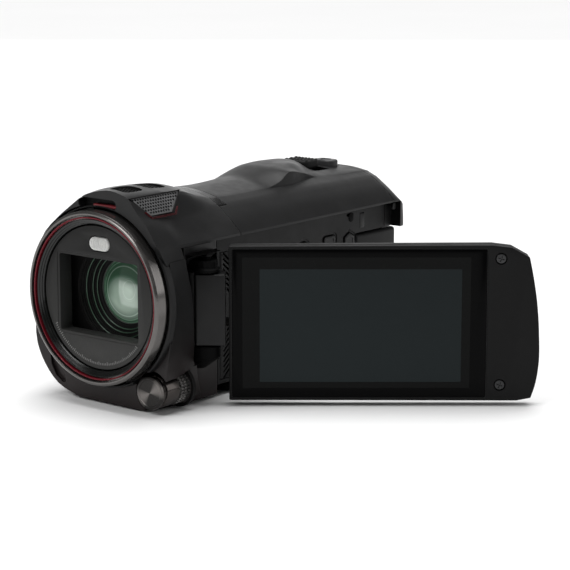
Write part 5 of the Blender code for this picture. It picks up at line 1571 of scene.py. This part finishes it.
def dress_nodes():
    """Materials and small edge bevels for parts that keep their CAD shape."""
    looks = {
        "image_sensor": ("board", 0.0), "zoom_well": ("dark", 0.15), "hinge_bracket": ("pit", 0.3),
        "hinge_pin": ("pit", 0.1), "tilt_pin": ("dark", 0.1), "lcd_module": ("dark", 0.2),
        "card_socket": ("steel", 0.15), "terminal_block": ("rubber", 0.15), "main_board": ("board", 0.1),
        "speaker": ("rubber", 0.2), "fan_rotor": ("rubber", 0.1), "tripod_bush": ("brass", 0.2),
        "base_screw_1": ("screw", 0.12), "base_screw_2": ("screw", 0.12), "base_screw_3": ("screw", 0.12),
        "battery_bay": ("dark", 0.2), "lens_cover_upper": ("dark", 0.15), "lens_cover_lower": ("dark", 0.15),
    }
    for name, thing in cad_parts.items():
        if thing.hide_render:
            continue
        look, edge = looks[name]
        thing.data.materials.clear()
        thing.data.materials.append(LOOK[look])
        if edge:
            step = thing.modifiers.new("edge", "BEVEL")
            step.width = edge * MM
            step.segments = 2
            step.limit_method = "ANGLE"
            step.angle_limit = math.radians(50)


# ---------------------------------------------------------------- studio

def make_studio():
    """Pale floor, soft lights and the camera."""
    builder = bmesh.new()
    bmesh.ops.create_grid(builder, x_segments=8, y_segments=8, size=8.0)
    mesh = bpy.data.meshes.new("studio_floor")
    builder.to_mesh(mesh)
    builder.free()
    floor = new_object("studio_floor", mesh)
    look = Nodes("floor_pale", 0.9, 0.0, 0.1)
    look.to("Base Color", look.blend(look.noise(180.0, 3.0), (0.86, 0.86, 0.86), (0.89, 0.89, 0.89)))
    mesh.materials.append(look.material)

    world = bpy.data.worlds.new("studio")
    bpy.context.scene.world = world
    world.use_nodes = True
    sky = world.node_tree.nodes["Background"]
    sky.inputs["Color"].default_value = (1.0, 1.0, 1.0, 1.0)
    sky.inputs["Strength"].default_value = 0.16

    def lamp(name, kind, place, aim, energy, size):
        data = bpy.data.lights.new(name, kind)
        data.energy = energy
        if kind == "AREA":
            data.shape = "RECTANGLE"
            data.size, data.size_y = size
        else:
            data.angle = math.radians(size)
        made = bpy.data.objects.new(name, data)
        made.location = place
        made.rotation_mode = "QUATERNION"
        made.rotation_quaternion = (Vector(aim) - Vector(place)).to_track_quat("-Z", "Y")
        made.visible_camera = False
        bpy.context.scene.collection.objects.link(made)

    lamp("light_top", "SUN", (-0.1, 0.15, 1.0), (0.0, 0.0, 0.0), 2.95, 50)
    lamp("light_back", "AREA", (-0.75, 0.95, 0.42), (0.0, 0.0, 0.05), 2.9, (1.3, 0.7))
    lamp("light_side", "AREA", (0.95, 0.50, 0.40), (0.0, -0.03, 0.04), 1.9, (0.5, 0.6))
    lamp("light_front", "AREA", (-0.20, -1.0, 0.85), (0.0, -0.05, 0.05), 7.0, (0.7, 0.5))

    eye = bpy.data.cameras.new("camera")
    eye.lens, eye.sensor_width = CAMERA_LENS, CAMERA_SENSOR
    eye.clip_start, eye.clip_end = 0.05, 60.0
    camera = bpy.data.objects.new("camera", eye)
    bpy.context.scene.collection.objects.link(camera)
    azimuth, rise = math.radians(CAMERA_AZIMUTH), math.radians(CAMERA_RISE)
    back = Vector((math.sin(azimuth) * math.cos(rise), -math.cos(azimuth) * math.cos(rise), math.sin(rise)))
    camera.location = CAMERA_PLACE
    camera.rotation_mode = "QUATERNION"
    camera.rotation_quaternion = (-back).to_track_quat("-Z", "Y")
    bpy.context.scene.camera = camera
    bpy.context.scene.view_settings.view_transform = "Standard"


make_covers()
make_lens_end()
make_microphone()
make_dial()
make_controls()
make_side()
make_screen()
make_strap()
for spare in (SKIN, HOLLOW, RECESS, BAY):
    drop(spare)
dress_nodes()
make_studio()
